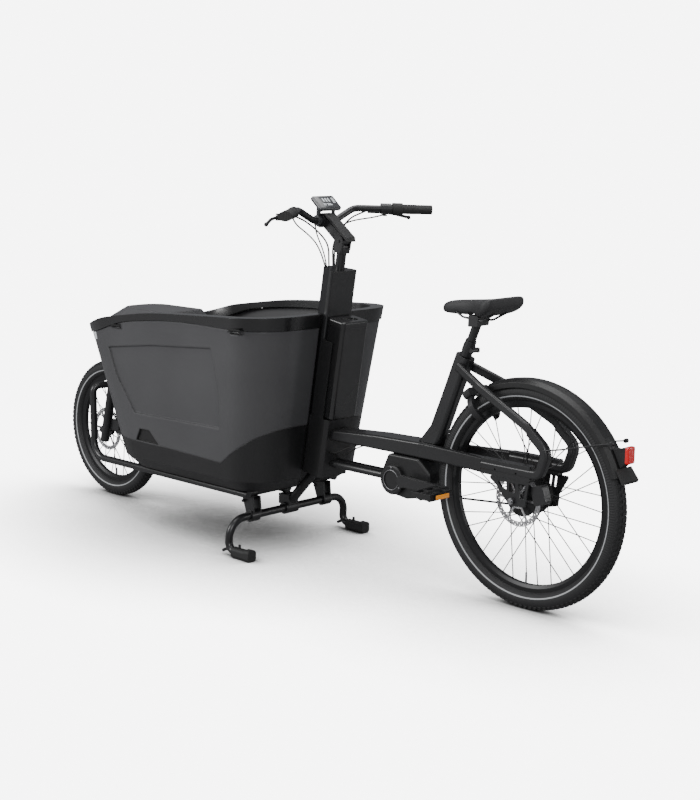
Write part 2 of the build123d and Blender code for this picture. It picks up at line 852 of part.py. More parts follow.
# Handlebar: level in the clamp, then up and swept back to the grips.
bar_rise_x = ahead(846)
bar_end = (ahead(690), bar_half_width, bar_end_z)
bar_bend = (bar_rise_x, 125, bar_end_z + 6)
bar_points = [
    (bar_end[0], -bar_end[1], bar_end[2]), (bar_bend[0], -bar_bend[1], bar_bend[2]),
    (clamp_centre[0], -52, clamp_centre[2]), (clamp_centre[0], 52, clamp_centre[2]),
    bar_bend, bar_end,
]
with BuildPart() as handlebar:
    add_tube(bar_points, [48, 42, 42, 48], bar_radius, bar_radius - 2)
    add_cross_rod(clamp_centre[0], clamp_centre[2], -27, 27, bar_sleeve_radius)
save(handlebar, "handlebar")

grip_line = Vector(*bar_bend) - Vector(*bar_end)
grip_inward = grip_line / grip_line.length


def bar_point(side, distance):
    """Point on the bar's straight end, this far in from its tip."""
    place = Vector(*bar_end) + grip_inward * distance
    return (place.X, side * place.Y, place.Z)


def bar_vector(side):
    """Direction along the bar's straight end, inwards."""
    return (grip_inward.X, side * grip_inward.Y, grip_inward.Z)


def grip_plane(side, distance):
    """Plane across the bar's end: local x runs outwards and back, local y up."""
    inward = Vector(*bar_vector(side))
    upward = Vector(0, 0, 1)
    rearward = Vector(0, 0, 1).cross(inward) * side
    return Plane(origin=bar_point(side, distance), x_dir=rearward, z_dir=inward)


grip_bore = bar_radius + 0.02
twist_length = 34
twist_gap = 0.6
with BuildPart() as grips:
    for side, length in ((-1, grip_length), (1, grip_length - twist_length)):
        for start, wide, tall, depth in ((-3, 44, 31, 60), (50, 38, 32, length - 50)):
            with BuildSketch(grip_plane(side, start)) as section:
                Ellipse(wide / 2, tall / 2)
            extrude(section.sketch, amount=depth)
        add_rod(
            bar_point(side, 0), bar_point(side, length + 20), grip_bore, Mode.SUBTRACT
        )
save(grips, "grips")

with BuildPart() as twist_shifter:
    start = grip_length - twist_length + twist_gap
    add_rod(bar_point(1, start), bar_point(1, grip_length - twist_gap), 20)
    add_rod(
        bar_point(1, start - 5), bar_point(1, grip_length + 5), bar_radius + running_gap,
        Mode.SUBTRACT,
    )
save(twist_shifter, "twist_shifter")

# Brake perches clamp to the bar inboard of the grips and hold the lever pins.
perch_start = 132
perch_length = 34
lever_pivot_reach = 46
lever_pin_radius = 3
ear_gap = 6.9


def lever_pivot(side, drop=14):
    """Centre of the brake lever's pin, ahead of the bar."""
    inward = Vector(*bar_vector(side))
    forward = Vector(0, 0, -1).cross(inward) * side
    base = Vector(*bar_point(side, perch_start + perch_length / 2))
    place = base + forward * lever_pivot_reach
    return (place.X, place.Y, place.Z - drop)


with BuildPart() as brake_perches:
    for side in (-1, 1):
        pin = Vector(*lever_pivot(side))
        add_rod(
            bar_point(side, perch_start), bar_point(side, perch_start + perch_length), 18
        )
        base = Vector(*bar_point(side, perch_start + perch_length / 2))
        inward = Vector(*bar_vector(side))
        cylinder_start = base + (pin - base) * 0.55 - inward * 6
        cylinder_end = cylinder_start + inward * 62
        add_rod(tuple(cylinder_start), tuple(cylinder_end), 9.5)
        for lift in (-1, 1):
            with BuildSketch(Plane(origin=(pin.X, pin.Y, pin.Z + lift * ear_gap))) as ear:
                Circle(8)
            extrude(ear.sketch, amount=lift * 4)
            with BuildSketch(
                Plane(origin=(base.X, base.Y, base.Z - 14 + lift * ear_gap))
            ) as arm:
                with BuildLine():
                    reach = pin - base
                    across = Vector(-reach.Y, reach.X, 0).normalized() * 7
                    near = reach.normalized() * 12
                    Polyline(
                        (near.X + across.X, near.Y + across.Y),
                        (reach.X + across.X, reach.Y + across.Y),
                        (reach.X - across.X, reach.Y - across.Y),
                        (near.X - across.X, near.Y - across.Y), close=True,
                    )
                make_face()
            extrude(arm.sketch, amount=lift * 4)
        add_rod((pin.X, pin.Y, pin.Z - 11), (pin.X, pin.Y, pin.Z + 11), lever_pin_radius)
        add_rod(
            bar_point(side, perch_start - 10), bar_point(side, perch_start + perch_length + 10),
            bar_radius + 0.02, Mode.SUBTRACT,
        )
save(brake_perches, "brake_perches")


def build_lever(side, name):
    """A two-finger lever: pin boss, curved blade and a ball end."""
    pin = Vector(*lever_pivot(side))
    inward = Vector(*bar_vector(side))
    inward = Vector(inward.X, inward.Y, 0).normalized()
    forward = Vector(0, 0, -1).cross(inward) * side
    outward = inward * -1
    reach = [
        pin, pin + outward * 34 + forward * 16, pin + outward * 88 + forward * 22,
    ]
    droop = [0, -5, -18]
    with BuildPart() as lever:
        with BuildSketch(Plane(origin=(pin.X, pin.Y, pin.Z - 5.7))) as boss:
            Circle(8)
        extrude(boss.sketch, amount=11.4)
        places = [(point.X, point.Y, point.Z + low) for point, low in zip(reach, droop)]
        add_tube(places, 60, 5)
        with Locations(Location(places[-1])):
            Sphere(7)
        add_rod(
            (pin.X, pin.Y, pin.Z - 12), (pin.X, pin.Y, pin.Z + 12),
            lever_pin_radius + running_gap, Mode.SUBTRACT,
        )
    save(lever, name)


build_lever(-1, "left_brake_lever")
build_lever(1, "right_brake_lever")

# Display: a tilted screen housing on two arms that clip to the bar.
screen_length = 61
screen_width = 96
screen_tilt = 41
screen_centre = (ahead(844), 0, 1156)
arm_y = 34
screen_plane = Plane(
    origin=screen_centre,
    x_dir=(cos(radians(screen_tilt)), 0, -sin(radians(screen_tilt))),
    z_dir=(sin(radians(screen_tilt)), 0, cos(radians(screen_tilt))),
)
with BuildPart() as display:
    with BuildSketch(screen_plane):
        RectangleRounded(screen_length, screen_width, 8)
    extrude(amount=-13)
    fillet(display.faces().sort_by(Axis.Z)[0].edges(), 4)
    for side in (-1, 1):
        add_rod(
            (clamp_centre[0] + 2, side * arm_y, clamp_centre[2] + 12),
            (screen_centre[0] - 4, side * arm_y, screen_centre[2] - 12), 6,
        )
        add_cross_rod(
            clamp_centre[0], clamp_centre[2], side * arm_y - 6, side * arm_y + 6, 17
        )
        add_cross_rod(
            clamp_centre[0], clamp_centre[2], side * arm_y - 12, side * arm_y + 12,
            bar_radius + 0.02, Mode.SUBTRACT,
        )
save(display, "display")

# Brake hoses: from each brake cylinder, in front of the post, down to the mast's top.
hose_radius = 2.5


def hose_route(side):
    """Hose points from the brake cylinder to just above the mast."""
    pin = Vector(*lever_pivot(side))
    base = Vector(*bar_point(side, perch_start + perch_length / 2))
    inward = Vector(*bar_vector(side))
    start = base + (pin - base) * 0.55 + inward * 57.5
    lane = side * 9
    return [
        tuple(start),
        (start.X - 6, side * 104, start.Z - 22),
        (ahead(832), side * 52, 1066),
        (ahead(826), lane, 1022),
        (ahead(824), lane, 953),
    ]


def corner_radii(points):
    """The largest tangent arc at each corner that its two runs leave room for."""
    radii = []
    for before, here, after in zip(points, points[1:], points[2:]):
        run_in = Vector(*here) - Vector(*before)
        run_out = Vector(*after) - Vector(*here)
        turn = radians(run_in.get_angle(run_out))
        radii.append(0.45 * min(run_in.length, run_out.length) / tan(turn / 2))
    return radii


with BuildPart() as brake_hoses:
    for side in (-1, 1):
        route = hose_route(side)
        radii = corner_radii(route)
        print("hose bend radii", [round(radius, 1) for radius in radii])
        add_tube(route, radii, hose_radius)
save(brake_hoses, "brake_hoses")

# ---------------------------------------------------------------- cargo box
box_rear_gap = 2
box_side_slope = 0.1
box_front_slope = 0.42
box_front_z = 700
box_low_z = 200
box_high_z = 830
bay_rear_x = front_axle_x + 336
bay_top_z = 640
notch_half_width = battery_half_width + dock_gap + dock_wall + 2


def box_section(z, margin=0):
    """Plan outline of the box at this height, grown by a margin."""
    rear_x = ahead(steer_back) - (steer_top_z - z) * tan(lean) + box_rear_gap + margin
    front_x = front_axle_x + box_front_gap + (box_front_z - z) * box_front_slope - margin
    half = box_half_width - (box_rim_z - z) * box_side_slope + margin
    share = (z - box_low_z) / (box_high_z - box_low_z)
    front_corner = 190 + 110 * share + margin
    rear_corner = 135 + 25 * share + margin
    with BuildSketch(Plane((0, 0, z))) as outline:
        with Locations(((rear_x + front_x) / 2, 0)):
            Rectangle(rear_x - front_x, 2 * half)
        fillet(outline.vertices().group_by(Axis.X)[0], front_corner)
        fillet(outline.vertices().group_by(Axis.X)[-1], rear_corner)
    return outline.sketch


def box_body(margin, low_z=box_low_z, high_z=box_high_z):
    """Solid with the box's outer shape between two heights, grown by a margin."""
    with BuildPart(mode=Mode.PRIVATE) as body:
        loft([box_section(low_z, margin), box_section(high_z, margin)], ruled=True)
    return body.part


def block(x_low, x_high, half_width, z_low, z_high):
    """A plain block centred on y = 0, used to cut and to line the box."""
    with BuildPart(mode=Mode.PRIVATE) as piece:
        with Locations(((x_low + x_high) / 2, 0, (z_low + z_high) / 2)):
            Box(x_high - x_low, 2 * half_width, z_high - z_low)
    return piece.part


def side_prism(points, half_width=400, smooth=False):
    """Side view outline taken across the whole width; the first points may be a curve."""
    with BuildPart(mode=Mode.PRIVATE) as prism:
        with BuildSketch(side_plane(-half_width)):
            with BuildLine():
                if smooth:
                    curve = Spline(*points[:-2])
                    Polyline(curve @ 1, points[-2], points[-1], curve @ 0)
                else:
                    Polyline(*points, close=True)
            make_face()
        extrude(amount=-2 * half_width)
    return prism.part


def mast_prism(margin):
    """Upright slot shape that the mast and tower stand in."""
    half = notch_half_width + margin
    with BuildPart(mode=Mode.PRIVATE) as prism:
        with BuildSketch(steer_plane(tower_low - 120)):
            with BuildLine():
                Polyline(
                    (60, -half), (60, half), (mast_shoulder, half),
                    (-mast_nose - 2.5 - margin, 31 + margin),
                    (-mast_nose - 2.5 - margin, -31 - margin), (mast_shoulder, -half), close=True,
                )
            make_face()
        extrude(amount=mast_high + 30 - tower_low + 120)
    return prism.part


far_front_x = front_axle_x + 20
shell_top = [
    (ahead(700), 762), (ahead(860), 758), (ahead(1220), 761), (ahead(1400), 748),
    (ahead(1560), 722), (front_axle_x + 346, 697), (front_axle_x + 286, 682),
    (front_axle_x + 186, 665), (far_front_x, 656),
]
rim_top = [
    (ahead(700), 805), (ahead(860), 801), (ahead(1190), 787), (ahead(1400), 772),
    (ahead(1546), 752), (front_axle_x + 356, 738), (front_axle_x + 296, 721),
    (front_axle_x + 186, 692), (far_front_x, 681),
]
skirt_line = [
    (ahead(700), 456), (ahead(838), 449), (ahead(880), 427), (ahead(932), 396), (ahead(995), 352),
    (ahead(1057), 306), (ahead(1300), 313), (ahead(1529), 314), (far_front_x, 330),
]
above_skirt = side_prism(skirt_line + [(far_front_x, 900), (ahead(700), 900)])
below_skirt = side_prism(
    [(x, z - body_gap) for x, z in skirt_line] + [(far_front_x, 100), (ahead(700), 100)]
)
under_rim = side_prism(shell_top + [(far_front_x, 150), (ahead(700), 150)], smooth=True)
over_shell = side_prism(
    [(x, z + body_gap) for x, z in shell_top] + [(far_front_x, 950), (ahead(700), 950)],
    smooth=True,
)
under_rim_top = side_prism(rim_top + [(far_front_x, 500), (ahead(700), 500)], smooth=True)


hood_top_z = 742


def hood_body(margin):
    """The hump over the fork and head tube at the front of the box."""
    with BuildPart(mode=Mode.PRIVATE) as hump:
        for z, front, rear, half in ((655, 76, 400, 123), (705, 92, 440, 118), (hood_top_z, 146, 430, 88)):
            level = z + (margin if z == hood_top_z else 0)
            with BuildSketch(Plane((0, 0, level))) as outline:
                front_x = front_axle_x + front - margin
                rear_x = front_axle_x + rear + margin
                with Locations(((front_x + rear_x) / 2, 0)):
                    Rectangle(rear_x - front_x, 2 * half + 2 * margin)
                fillet(outline.vertices().group_by(Axis.X)[0], 70 + margin)
                fillet(outline.vertices().group_by(Axis.X)[-1], 30 + margin)
        loft(ruled=True)
    return hump.part


bay_lining = block(
    far_front_x, bay_rear_x + bay_wall, bay_half_width + bay_wall, box_floor_z, bay_top_z + 60
)
bay_void = block(far_front_x - 60, bay_rear_x, bay_half_width, 0, bay_top_z)

# Embossed side panel, step pocket, rim slots and lamp recess are cut from the skin outside this.
panel_depth = 5
lamp_depth = 6
side_panel = [
    (ahead(1612), 636), (ahead(1369), 666), (ahead(1060), 688), (ahead(1040), 560),
    (ahead(1050), 424), (ahead(1500), 416), (ahead(1580), 536),
]
step_pocket = [(ahead(1478), 362), (ahead(1425), 362), (ahead(1380), 318), (ahead(1505), 318)]
lamp_rear_x = front_axle_x + 290
lamp_band = [
    (lamp_rear_x, 654), (lamp_rear_x, 680), (front_axle_x + 186, 662), (far_front_x - 40, 652),
    (far_front_x - 40, 628), (front_axle_x + 186, 640),
]

with BuildPart() as box_shell:
    add(box_body(0))
    add(above_skirt, mode=Mode.INTERSECT)
    add(box_body(-box_wall), mode=Mode.SUBTRACT)
    add((bay_lining & box_body(-1)) & above_skirt)
    add((mast_prism(8) & box_body(0)) & above_skirt)
    add(under_rim, mode=Mode.INTERSECT)
    add(hood_body(0))
    add(bay_void, mode=Mode.SUBTRACT)
    add(hood_body(-6) + block(
        front_axle_x + 90, bay_rear_x - 2, bay_half_width - 6, bay_top_z - 2, 670
    ), mode=Mode.SUBTRACT)
    add(mast_prism(0), mode=Mode.SUBTRACT)
    add(
        (box_body(20) - box_body(-panel_depth)) & side_prism(side_panel), mode=Mode.SUBTRACT
    )
    add(
        (box_body(20) - box_body(-7)) & side_prism(step_pocket), mode=Mode.SUBTRACT
    )
    add(
        ((box_body(20) - box_body(-lamp_depth)) & side_prism(lamp_band))
        - block(far_front_x - 80, lamp_rear_x, bay_half_width + 12, 600, 720),
        mode=Mode.SUBTRACT,
    )
    for slot_x in (ahead(1552), ahead(932)):
        slot_z = 716 if slot_x < ahead(1300) else 752
        add(
            (box_body(20) - box_body(-6)) & block(slot_x - 24, slot_x + 24, 400, slot_z - 7,
                                                  slot_z + 7),
            mode=Mode.SUBTRACT,
        )
save(box_shell, "box_shell")

skirt_wall = 8
strut_radius = 16
strut_ends = ((ahead(stand_back - 14), 0, stand_z + 30), (ahead(891.5), 0, 266))
with BuildPart() as box_skirt:
    loft([box_section(box_floor_z, -34), box_section(252, 0)], ruled=True)
    add(box_body(0, 252, box_high_z))
    add(below_skirt, mode=Mode.INTERSECT)
    add(box_body(-skirt_wall - 30, box_floor_z + skirt_wall, 262), mode=Mode.SUBTRACT)
    add(box_body(-skirt_wall, 262, box_high_z), mode=Mode.SUBTRACT)
    add((bay_lining & box_body(-36, box_floor_z, box_high_z)) & below_skirt)
    add(bay_void, mode=Mode.SUBTRACT)
    add(mast_prism(0), mode=Mode.SUBTRACT)
    add_rod(*strut_ends, strut_radius + 2, Mode.SUBTRACT)
save(box_skirt, "box_skirt")

rim_width = 40
with BuildPart() as box_rim:
    add(box_body(5))
    add(over_shell, mode=Mode.INTERSECT)
    add(under_rim_top, mode=Mode.INTERSECT)
    add(box_body(-rim_width), mode=Mode.SUBTRACT)
    add(hood_body(1), mode=Mode.SUBTRACT)
    add(mast_prism(0), mode=Mode.SUBTRACT)
save(box_rim, "box_rim")

with BuildPart() as front_light:
    add(box_body(1) - box_body(-lamp_depth))
    add(side_prism(lamp_band), mode=Mode.INTERSECT)
    add(
        block(far_front_x - 80, lamp_rear_x, bay_half_width + 12, 600, 720), mode=Mode.SUBTRACT
    )
save(front_light, "front_light")

# ---------------------------------------------------------------- front frame and fork
fork_tilt = radians(fork_lean)
fork_direction = (sin(fork_tilt), 0, cos(fork_tilt))
fork_origin = (front_axle_x + fork_offset / cos(fork_tilt), 0, front_tyre_radius)
leg_forward = -26
crown_low = 330
crown_high = 354
head_low = crown_high + 1


def fork_plane(height=0):
    """Plane across the fork's steering axis: local x runs rearwards, local y right."""
    origin = along(fork_origin, fork_direction, height)
    return Plane(origin=origin, x_dir=(cos(fork_tilt), 0, -sin(fork_tilt)), z_dir=fork_direction)


def leg_point(side, height):
    """Centre of a fork leg at this height along the steering axis."""
    plane = fork_plane(height)
    place = plane.from_local_coords(Vector(leg_forward, side * leg_half_spacing, 0))
    return (place.X, place.Y, place.Z)


hoop_x = front_axle_x + 136
hoop_z = 197
spine_x = front_axle_x + 304
spine_z = 188
bridge_z = 466
head_middle = along(fork_origin, fork_direction, head_low + head_tube_length * 0.45)
with BuildPart() as front_frame:
    add_rod(
        along(fork_origin, fork_direction, head_low),
        along(fork_origin, fork_direction, head_low + head_tube_length), 25,
    )
    add_tube(
        [
            (head_middle[0] + 12, 0, head_middle[2]), (spine_x, 0, 560), (spine_x, 0, spine_z),
            (ahead(1026), 0, spine_z),
        ],
        [50, 34], spar_radius,
    )
    for side in (-1, 1):
        add_tube(
            [
                (spine_x - 6, side * 12, bridge_z), (hoop_x + 36, side * 112, bridge_z - 4),
                (hoop_x, side * hoop_half_width, bridge_z - 8),
                (hoop_x, side * hoop_half_width, hoop_z),
                (ahead(1000), side * hoop_half_width, hoop_z),
            ],
            [24, 26, 62], hoop_radius,
        )
    add_cross_rod(ahead(1022), hoop_z, -hoop_half_width, hoop_half_width, hoop_radius)
    add_rod(
        along(fork_origin, fork_direction, head_low - 1),
        along(fork_origin, fork_direction, head_low + head_tube_length + 1),
        steerer_radius + running_gap, Mode.SUBTRACT,
    )
save(front_frame, "front_frame")

stanchion_radius = 14
lower_top = 280
lower_bottom = -48
with BuildPart() as fork_crown:
    add_rod(
        along(fork_origin, fork_direction, crown_high - 2),
        along(fork_origin, fork_direction, head_low + head_tube_length + 8), steerer_radius,
    )
    with BuildSketch(fork_plane(crown_low)):
        with Locations((leg_forward / 2, 0)):
            RectangleRounded(62, 2 * leg_half_spacing + 38, 18)
    extrude(amount=crown_high - crown_low)
    for side in (-1, 1):
        add_rod(leg_point(side, 120), leg_point(side, crown_low + 2), stanchion_radius)
save(fork_crown, "fork_crown")

with BuildPart() as fork_lowers:
    for side in (-1, 1):
        add_rod(leg_point(side, lower_bottom), leg_point(side, lower_top), leg_radius)
        add_rod(leg_point(side, lower_top - 18), leg_point(side, lower_top), leg_radius + 2)
        face_y = side * 50
        with BuildSketch(side_plane(face_y)) as dropout:
            with Locations((front_axle_x, front_tyre_radius)):
                Circle(15)
            with BuildLine():
                low = leg_point(side, lower_bottom + 6)
                high = leg_point(side, 40)
                Polyline(
                    (front_axle_x, front_tyre_radius + 14), (high[0], high[2]),
                    (low[0], low[2]), (front_axle_x, front_tyre_radius - 14), close=True,
                )
            make_face()
        extrude(dropout.sketch, amount=-side * 10)
    with BuildSketch(fork_plane(lower_top - 22)) as arch:
        with Locations((leg_forward - 4, 0)):
            RectangleRounded(22, 2 * leg_half_spacing + 10, 8)
    extrude(arch.sketch, amount=20)
    add_side_plate(
        [
            (front_axle_x + 22, 262), (front_axle_x + 60, 262), (front_axle_x + 92, 268),
            (front_axle_x + 96, 300), (front_axle_x + 60, 304), (front_axle_x + 32, 292),
        ],
        -57, -50.5,
    )
    for side in (-1, 1):
        add_rod(
            leg_point(side, 120 - fork_travel - 4), leg_point(side, lower_top + 1),
            stanchion_radius + running_gap, Mode.SUBTRACT,
        )
    add_cross_rod(front_axle_x, front_tyre_radius, -49.9, 49.9, 17, Mode.SUBTRACT)
    add_cross_rod(front_axle_x, front_tyre_radius, -66, 66, axle_radius)
    for y_start, y_end in ((-70, -59), (59, 70)):
        add_cross_rod(front_axle_x, front_tyre_radius, y_start, y_end, 10)
save(fork_lowers, "fork_lowers")


def caliper_block(centre, lean_angle, radial, tangential, y_low, y_high, disc_y, name):
    """A brake caliper that straddles its disc, with two bolt heads outside."""
    slot_gap = 1.0
    with BuildPart() as caliper:
        with BuildSketch(side_plane(y_low)) as body:
            with Locations(Location(centre, lean_angle)):
                RectangleRounded(radial, tangential, 9)
        extrude(body.sketch, amount=y_low - y_high)
        for offset_along in (-tangential / 2 + 9, tangential / 2 - 9):
            bolt_x = centre[0] - offset_along * sin(radians(lean_angle))
            bolt_z = centre[1] + offset_along * cos(radians(lean_angle))
            add_cross_rod(bolt_x, bolt_z, y_high - 1, y_high + 3, 5)
        with BuildSketch(side_plane(disc_y + slot_gap)) as slot:
            with Locations(Location(centre, lean_angle)):
                with Locations((-radial * 0.2, 0)):
                    Rectangle(radial * 0.85, tangential + 20)
        extrude(slot.sketch, amount=disc_thickness + 2 * slot_gap, mode=Mode.SUBTRACT)
    save(caliper, name)


caliper_block(
    (rear_axle_x + 84, rear_tyre_radius + 27), 18, 44, 56, -66, -38, rear_disc_y, "rear_caliper"
)
caliper_block(
    (front_axle_x + 78, front_tyre_radius + 22), 14, 40, 58, -50, -28, front_disc_y,
    "front_caliper",
)

# ---------------------------------------------------------------- stand
stand_x = ahead(stand_back)
bearing_gap = running_gap
bearing_radius = stand_tube_radius + 7
foot_z = foot_radius + 2
with BuildPart() as stand_brackets:
    for side in (-1, 1):
        for plate_y in (148, 178):
            add_side_plate(
                [
                    (stand_x - 42, hoop_z - hoop_radius - 0.5),
                    (stand_x + 12, hoop_z - hoop_radius - 0.5),
                    (stand_x + 17, stand_z + 6), (stand_x - 20, stand_z + 6),
                ],
                side * plate_y, side * plate_y + 6,
            )
        add_cross_rod(stand_x, stand_z, side * 148, side * 184, bearing_radius)
        add_cross_rod(stand_x - 28, 168, side * 144, side * 188, 5)
    add_cross_rod(stand_x, stand_z, -28, 28, bearing_radius)
    add_side_plate(
        [
            (stand_x - 30, stand_z + 12), (stand_x + 20, stand_z + 12),
            (stand_x + 20, spine_z - spar_radius - 0.5),
            (stand_x - 30, spine_z - spar_radius - 0.5),
        ],
        -22, 22,
    )
    add_rod(*strut_ends, strut_radius)
    add_cross_rod(
        stand_x, stand_z, -200, 200, stand_tube_radius + bearing_gap, Mode.SUBTRACT
    )
save(stand_brackets, "stand_brackets")

stand_leg_x = stand_x - 10
foot_bend = 28
foot_start_x = stand_leg_x + foot_bend + 1
foot_end_x = stand_leg_x + foot_length
with BuildPart() as stand:
    add_tube(
        [
            (foot_end_x - 4, -stand_half_width, foot_z), (stand_leg_x, -stand_half_width, foot_z),
            (stand_x, -stand_half_width, stand_z), (stand_x, stand_half_width, stand_z),
            (stand_leg_x, stand_half_width, foot_z), (foot_end_x - 4, stand_half_width, foot_z),
        ],
        [foot_bend, 60, 60, foot_bend], stand_tube_radius,
    )
    for side in (-1, 1):
        prong_y = side * stand_half_width
        add_rod(
            (stand_x - 6, prong_y, foot_z + 8), (stand_x - 34, prong_y + side * 2, foot_z - 6), 5
        )
        add_rod((stand_x + 46, prong_y, foot_z), (stand_x + 46, prong_y, foot_z + 27), 4.5)
save(stand, "stand")

with BuildPart() as stand_feet:
    for side in (-1, 1):
        centre_y = side * stand_half_width
        for start_x, length, width, height in (
            (foot_start_x, foot_end_x - 20 - foot_start_x, 32, 2 * foot_z - 4),
            (foot_end_x - 24, 24, 36, 2 * foot_z),
        ):
            section = Plane(
                origin=(start_x, centre_y, height / 2), x_dir=(0, 1, 0), z_dir=(1, 0, 0)
            )
            with BuildSketch(section) as foot:
                RectangleRounded(width, height, 11)
            extrude(foot.sketch, amount=length)
        add_rod(
            (foot_start_x - 5, centre_y, foot_z), (foot_end_x - 4, centre_y, foot_z),
            stand_tube_radius + 0.02, Mode.SUBTRACT,
        )
        add_rod(
            (stand_x + 46, centre_y, foot_z), (stand_x + 46, centre_y, foot_z + 40), 4.6,
            Mode.SUBTRACT,
        )
save(stand_feet, "stand_feet")

# ---------------------------------------------------------------- seat
post_bottom = along(seat_top, post_direction, 112 - seatpost_length)
head_place = along(seat_top, post_direction, 112)
rail_radius = 3.5
rail_points = [
    (ahead(296), 12, 861), (ahead(246), 22, 841), (ahead(170), 22, 834), (ahead(122), 28, 860)
]
with BuildPart() as seatpost:
    add_rod(post_bottom, head_place, seatpost_radius)
    add_side_plate(
        [
            (head_place[0] - 16, head_place[2] - 12), (head_place[0] + 20, head_place[2] - 8),
            (head_place[0] + 24, 847), (head_place[0] - 14, 850),
        ],
        27, -27, corner=5,
    )
    for side in (-1, 1):
        points = [(x, side * y, z) for x, y, z in rail_points]
        add_tube(points, [30, 30], rail_radius)
save(seatpost, "seatpost")

saddle_stations = [
    (334, 13, 22, 859), (318, 21, 34, 863), (262, 24, 44, 868), (205, 32, 48, 871),
    (165, 58, 50, 873), (126, 86, 46, 882), (96, 78, 26, 894),
]
with BuildPart() as saddle:
    for distance, half_width, height, middle_z in saddle_stations:
        section = Plane(
            origin=(ahead(distance), 0, middle_z), x_dir=(0, 1, 0), z_dir=(1, 0, 0)
        )
        with BuildSketch(section):
            RectangleRounded(2 * half_width, height, min(height, 2 * half_width) * 0.38)
    loft()
    for side in (-1, 1):
        for start, end in zip(rail_points, rail_points[1:]):
            add_rod(
                (start[0], side * start[1], start[2]), (end[0], side * end[1], end[2]),
                rail_radius + 1.5, Mode.SUBTRACT,
            )
        with Locations([(x, side * y, z) for x, y, z in rail_points]):
            Sphere(rail_radius + 1.5, mode=Mode.SUBTRACT)
    with Locations((head_place[0] + 4, 0, 846)):
        Box(50, 60, 20, mode=Mode.SUBTRACT)
save(saddle, "saddle")

collar_radius = 18.5
ear_x = 21
lever_pivot_y = 20
lever_bolt_radius = 2.5
with BuildPart() as seat_collar:
    add_rod(along(seat_top, post_direction, 1.7), along(seat_top, post_direction, collar_length), 17)
    add_rod(
        along(seat_top, post_direction, 16), along(seat_top, post_direction, 38), collar_radius
    )
    ear_centre = along(seat_top, post_direction, 20)
    add_cross_rod(ear_centre[0] + ear_x, ear_centre[2], -12, 12, 7)
    add_cross_rod(ear_centre[0] + ear_x, ear_centre[2], 11, lever_pivot_y + 1, lever_bolt_radius)
    add_rod(
        (ear_centre[0] + ear_x, lever_pivot_y, ear_centre[2] - 8),
        (ear_centre[0] + ear_x, lever_pivot_y, ear_centre[2] + 8), 3,
    )
    add_rod(
        along(seat_top, post_direction, -5), along(seat_top, post_direction, 60),
        seatpost_radius + running_gap, Mode.SUBTRACT,
    )
save(seat_collar, "seat_collar")

with BuildPart() as seat_lever:
    lever_x = ear_centre[0] + ear_x
    with BuildSketch(Plane(origin=(lever_x, lever_pivot_y, ear_centre[2] - 6))) as lever_shape:
        Circle(7)
        with BuildLine():
            Polyline((0, 1), (-44, 8), (-46, 13), (0, 7), close=True)
        make_face()
    extrude(lever_shape.sketch, amount=12)
    add_rod(
        (lever_x, lever_pivot_y, ear_centre[2] - 9), (lever_x, lever_pivot_y, ear_centre[2] + 9),
        3 + running_gap, Mode.SUBTRACT,
    )
    with Locations((lever_x + 3.4, lever_pivot_y - 5, ear_centre[2])):
        Box(13.2, 10, 7, mode=Mode.SUBTRACT)
    with Locations((lever_x + 5, lever_pivot_y - 3.4, ear_centre[2])):
        Box(10, 13.2, 7, mode=Mode.SUBTRACT)
save(seat_lever, "seat_lever")

# ---------------------------------------------------------------- fender, light and lock
fender_start = 19
fender_sweep = 95


def around_rear_wheel(angle, radius, y=0):
    """Point over the rear wheel at this angle above the line straight back."""
    turn = radians(angle)
    return (rear_axle_x + radius * cos(turn), y, rear_tyre_radius + radius * sin(turn))


with BuildPart() as rear_fender:
    radial = (cos(radians(fender_start)), 0, sin(radians(fender_start)))
    with BuildSketch(
        Plane(
            origin=rear_axle, x_dir=(0, 1, 0),
            z_dir=(radial[2], 0, -radial[0]),
        )
    ):
        with BuildLine():
            half = Polyline(
                (0, fender_radius), (fender_half_width - 12, fender_radius - 2),
                (fender_half_width, fender_radius - 12), (fender_half_width, fender_radius - 27),
                (fender_half_width - fender_thickness, fender_radius - 27),
                (fender_half_width - fender_thickness, fender_radius - 13),
                (fender_half_width - 13, fender_radius - 4),
                (0, fender_radius - fender_thickness),
            )
            mirror(half, about=Plane.YZ)
        make_face()
    revolve(axis=Axis(rear_axle, (0, -1, 0)), revolution_arc=fender_sweep)
save(rear_fender, "rear_fender")

flap_tip = (rear_axle_x + tail_reach, 431)
flap_top = around_rear_wheel(fender_start + 4, fender_radius + 0.6)
with BuildPart() as mudflap:
    add_side_plate(
        [
            (flap_top[0], flap_top[2]), (flap_top[0] + 3, flap_top[2] + 1),
            (flap_tip[0], flap_tip[1] + 8), (flap_tip[0] - 3, flap_tip[1]),
            (flap_tip[0] - 7, flap_tip[1] + 2),
        ],
        -fender_half_width - 3, fender_half_width + 3,
    )
save(mudflap, "mudflap")

light_angle = 28
light_radius = fender_radius + 2
with BuildPart() as tail_light:
    base_low = around_rear_wheel(light_angle - 5, light_radius)
    base_high = around_rear_wheel(light_angle + 4.5, light_radius)
    add_side_plate(
        [
            (base_low[0], base_low[2]), (rear_axle_x + 339, 487), (rear_axle_x + 339, 534),
            (base_high[0] + 8, base_high[2] - 1), (base_high[0], base_high[2]),
        ],
        -15, 15,
    )
save(tail_light, "tail_light")

with BuildPart() as tail_lens:
    with BuildSketch(
        Plane(origin=(rear_axle_x + 339.5, 0, 510.5), x_dir=(0, 1, 0), z_dir=(1, 0, 0))
    ):
        RectangleRounded(34, 49, 6)
    extrude(amount=11)
    fillet(tail_lens.faces().sort_by(Axis.X)[-1].edges(), 4)
save(tail_lens, "tail_lens")

